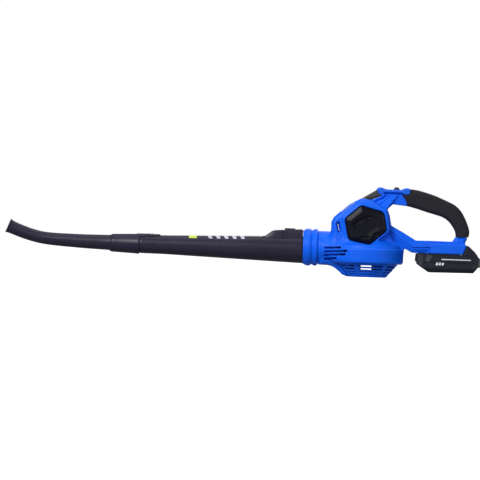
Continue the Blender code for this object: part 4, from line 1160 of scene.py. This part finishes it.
BLKW = shader("black_lead_jacket", (0.015, 0.015, 0.016), 0.45, var=0.1, bump=0.08, grain=800.0)
CELLM = shader("cell_sleeve", (0.03, 0.22, 0.19), 0.33, var=0.07, bump=0.05, grain=900.0)
YELLOW = shader("yellow_print", (0.46, 0.54, 0.07), 0.5, spec=0.3, var=0.06, bump=0.06, grain=1200.0)
PALE = shader("pale_print", (0.42, 0.42, 0.50), 0.5, spec=0.3, var=0.10, bump=0.06, grain=1200.0)
# painted highlight: a lighter grey standing in for light caught on the battery's bevelled front-corner facet
FACET_PAINTED_HIGHLIGHT = shader("painted_highlight_facet", (0.030, 0.031, 0.040), 0.42, spec=0.4, var=0.10, bump=0.06, grain=900.0)
# painted highlight: a lighter grey band standing in for light caught on the battery's front-corner facets
BAND_PAINTED_HIGHLIGHT = shader("painted_highlight_band", (0.019, 0.020, 0.026), 0.42, spec=0.4, var=0.10, bump=0.06, grain=900.0)
WHITE_P = shader("white_print", (0.62, 0.62, 0.64), 0.5, spec=0.3, var=0.06, bump=0.06, grain=1200.0)


# =============================================================== put the pieces on their bodies
def place(ob, mat, body, slot, *nodes):
    ob.data.materials.clear()
    ob.data.materials.append(mat)
    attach(ob, body)
    if nodes:
        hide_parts(*nodes)
    return ob


left, right = housing()
place(left, BLUE, "housing", "blue_shell", "housing_left")
place(right, BLUE, "housing", "blue_shell", "housing_right")
place(collar(), BLUE, "housing", "blue_shell", "outlet_collar")
place(guard(), BLUE, "housing", "blue_shell", "intake_guard")
place(hex_cover(-1, "left_hex_cover"), HEXM, "housing", "black_plastic", "hex_cover_left")
place(hex_cover(1, "right_hex_cover"), HEXM, "housing", "black_plastic", "hex_cover_right")
place(sleeve(), RUBBER, "housing", "soft_grip", "grip_sleeve")
place(front_pad(), PADM, "housing", "soft_grip", "front_grip_pad")
place(trim(), GLOSS_BLUE, "housing", "blue_shell", "switch_bezel")
place(slider(), BLACK, "switch_slider", "black_plastic", "power_switch")
place(tube(), CHAR, "blow_tube", "charcoal_plastic", "main_tube")
place(latch_button(), CHAR, "tube_latch", "charcoal_plastic", "tube_latch_button")
place(nozzle(), CHAR, "blow_nozzle", "charcoal_plastic", "nozzle")
top_case, bottom_case = battery()
place(top_case, BATTM, "battery", "battery_plastic", "battery_upper_case")
place(bottom_case, BATTM, "battery", "battery_plastic", "battery_lower_case")
place(release_button(), GREYM, "battery_button", "grey_plastic", "battery_release_button")
place(impeller(), BLACK, "rotor", "black_plastic", "impeller")
for i, s in enumerate(screws()):
    place(s, STEEL, "housing", "steel", "housing_screw_%d" % (i + 1))

# printed marks: a plain yellow patch and five airflow arrows on the tube, and plain bars on the battery; the lighter
# facet and band patches on the battery's front corner are painted highlights, not print
place(tube_mark("yellow_patch", lambda a: -320.4, lambda a: -306.2, -42, 42), YELLOW, "blow_tube", "charcoal_plastic")
for i in range(5):
    x0 = -289.0 + 14.6 * i
    place(tube_mark("airflow_arrow_%d" % (i + 1), lambda a, x0=x0: x0 + 6.2 * abs(a), lambda a, x0=x0: x0 + 6.2 * abs(a) + 7.6 - 2.2 * abs(a), -43, 43),
          PALE, "blow_tube", "charcoal_plastic")
for side in (-1, 1):
    tag = "left" if side < 0 else "right"
    ya, yb = sorted((side * 36.75, side * 37.02))
    # painted highlight on the battery's front-corner facet (a lighter diamond patch)
    place(flat_mark("battery_highlight_facet_" + tag, [(108.6, 44.0), (118.0, 42.7), (110.9, 30.5), (104.8, 34.8)], *sorted((side * 36.6, side * 37.62)), 0.6), FACET_PAINTED_HIGHLIGHT, "battery", "battery_plastic")
    # painted highlight along the battery's front corner (a lighter band patch)
    place(flat_mark("battery_highlight_band_" + tag, [(92.6, 43.6), (99.4, 43.6), (100.6, 34.0), (99.0, 23.8), (95.4, 25.6), (93.0, 30.0)], *sorted((side * 36.6, side * 37.60)), 0.8), BAND_PAINTED_HIGHLIGHT, "battery", "battery_plastic")
    place(flat_mark("battery_stripe_" + tag, [(134.0, 36.3), (187.0, 36.3), (187.0, 37.9), (134.0, 37.9)], ya, yb, 0.7), WHITE_P, "battery", "battery_plastic")
    for k in range(3):
        x0 = 124.0 + 5.2 * k
        place(flat_mark("battery_tick_%s_%d" % (tag, k + 1), [(x0, 26.2), (x0 + 3.4, 26.2), (x0 + 4.4, 31.0), (x0 + 1.0, 31.0)], ya, yb, 0.5),
              WHITE_P, "battery", "battery_plastic")

# CAD nodes that keep their own shape
for mat, names in ((BLACK, ("fan_back_plate", "terminal_block")), (GREYM, ("switch_body",)),
                   (STEEL, ("motor_can", "lower_bearing", "upper_bearing", "motor_shaft", "impeller_nut", "latch_spring")),
                   (ALU, ("motor_end_cap",)), (COPPER, ("armature", "commutator")), (BRASS, ("terminal_negative", "terminal_positive")),
                   (FERRITE, ("magnet_left", "magnet_right", "brush_left", "brush_right")), (BOARD, ("controller_board", "battery_board")),
                   (REDW, ("battery_lead_red", "motor_lead_red")), (BLKW, ("battery_lead_black", "motor_lead_black", "switch_cable")),
                   (CELLM, tuple("battery_cell_%d" % (i + 1) for i in range(5)))):
    for n in names:
        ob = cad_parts[n]
        ob.data.materials.clear()
        ob.data.materials.append(mat)

# =============================================================== floor, light, camera
fl = bpy.data.meshes.new("studio_floor")
fl.from_pydata([(-40, -40, -0.0006), (40, -40, -0.0006), (40, 40, -0.0006), (-40, 40, -0.0006)], [], [(0, 1, 2, 3)])
floor = bpy.data.objects.new("studio_floor", fl)
COL.objects.link(floor)
fm = bpy.data.materials.new("pale_floor")
fm.use_nodes = True
fb = fm.node_tree.nodes["Principled BSDF"]
fb.inputs["Base Color"].default_value = (0.86, 0.86, 0.87, 1)
fb.inputs["Roughness"].default_value = 0.9
fb.inputs["Specular IOR Level"].default_value = 0.1
fb.inputs["Emission Color"].default_value = (1, 1, 1, 1)
fb.inputs["Emission Strength"].default_value = 0.9
fl.materials.append(fm)
floor.visible_diffuse = False
floor.visible_glossy = False
floor.visible_shadow = False

world = bpy.data.worlds.new("studio")
bpy.context.scene.world = world
world.use_nodes = True
wt = world.node_tree
bg = wt.nodes["Background"]
bg.inputs["Color"].default_value = (1, 1, 1, 1)
bg.inputs["Strength"].default_value = 1.0
dim = wt.nodes.new("ShaderNodeBackground")
dim.inputs["Color"].default_value = (0.93, 0.96, 1.0, 1)
dim.inputs["Strength"].default_value = 0.30
lp = wt.nodes.new("ShaderNodeLightPath")
mx = wt.nodes.new("ShaderNodeMixShader")
wt.links.new(lp.outputs["Is Camera Ray"], mx.inputs[0])
wt.links.new(dim.outputs[0], mx.inputs[1])
wt.links.new(bg.outputs[0], mx.inputs[2])
wt.links.new(mx.outputs[0], wt.nodes["World Output"].inputs["Surface"])


def area_light(name, loc, target, sx, sy, power, colour=(1, 1, 1)):
    ld = bpy.data.lights.new(name, "AREA")
    ld.shape = "RECTANGLE"
    ld.size, ld.size_y = sx, sy
    ld.energy = power
    ld.color = colour
    ob = bpy.data.objects.new(name, ld)
    COL.objects.link(ob)
    ob.location = loc
    d = Vector(target) - Vector(loc)
    ob.rotation_euler = d.to_track_quat("-Z", "Y").to_euler()
    return ob


AIM = (-0.1, 0.0, 0.07)
area_light("key_softbox", (-1.3, -1.9, 1.35), AIM, 1.1, 1.1, 68)
area_light("top_softbox", (-0.2, 0.15, 1.8), AIM, 2.4, 1.0, 15)
area_light("strip_light", (-0.35, -2.2, 0.42), (-0.35, 0.0, 0.05), 2.6, 0.08, 4)
area_light("right_fill", (1.7, -1.6, 0.5), AIM, 1.0, 1.0, 8)
area_light("low_fill", (0.1, -2.0, -0.9), AIM, 2.0, 1.0, 3)
area_light("back_fill", (0.3, 2.0, 1.2), AIM, 1.6, 1.2, 12)

TH = math.radians(2.1)
cd = bpy.data.cameras.new("camera")
cam = bpy.data.objects.new("camera", cd)
COL.objects.link(cam)
DIST = 12.0
cd.sensor_width = 36.0
cd.lens = 36.0 * DIST / 0.864
cd.clip_end = 200.0
cam.matrix_world = Matrix(((math.cos(TH), -math.sin(TH), 0.0, -0.2286), (0.0, 0.0, -1.0, -DIST),
                           (math.sin(TH), math.cos(TH), 0.0, 0.0586), (0, 0, 0, 1)))
bpy.context.scene.camera = cam
bpy.context.scene.view_settings.view_transform = "Standard"

bpy.context.view_layer.update()
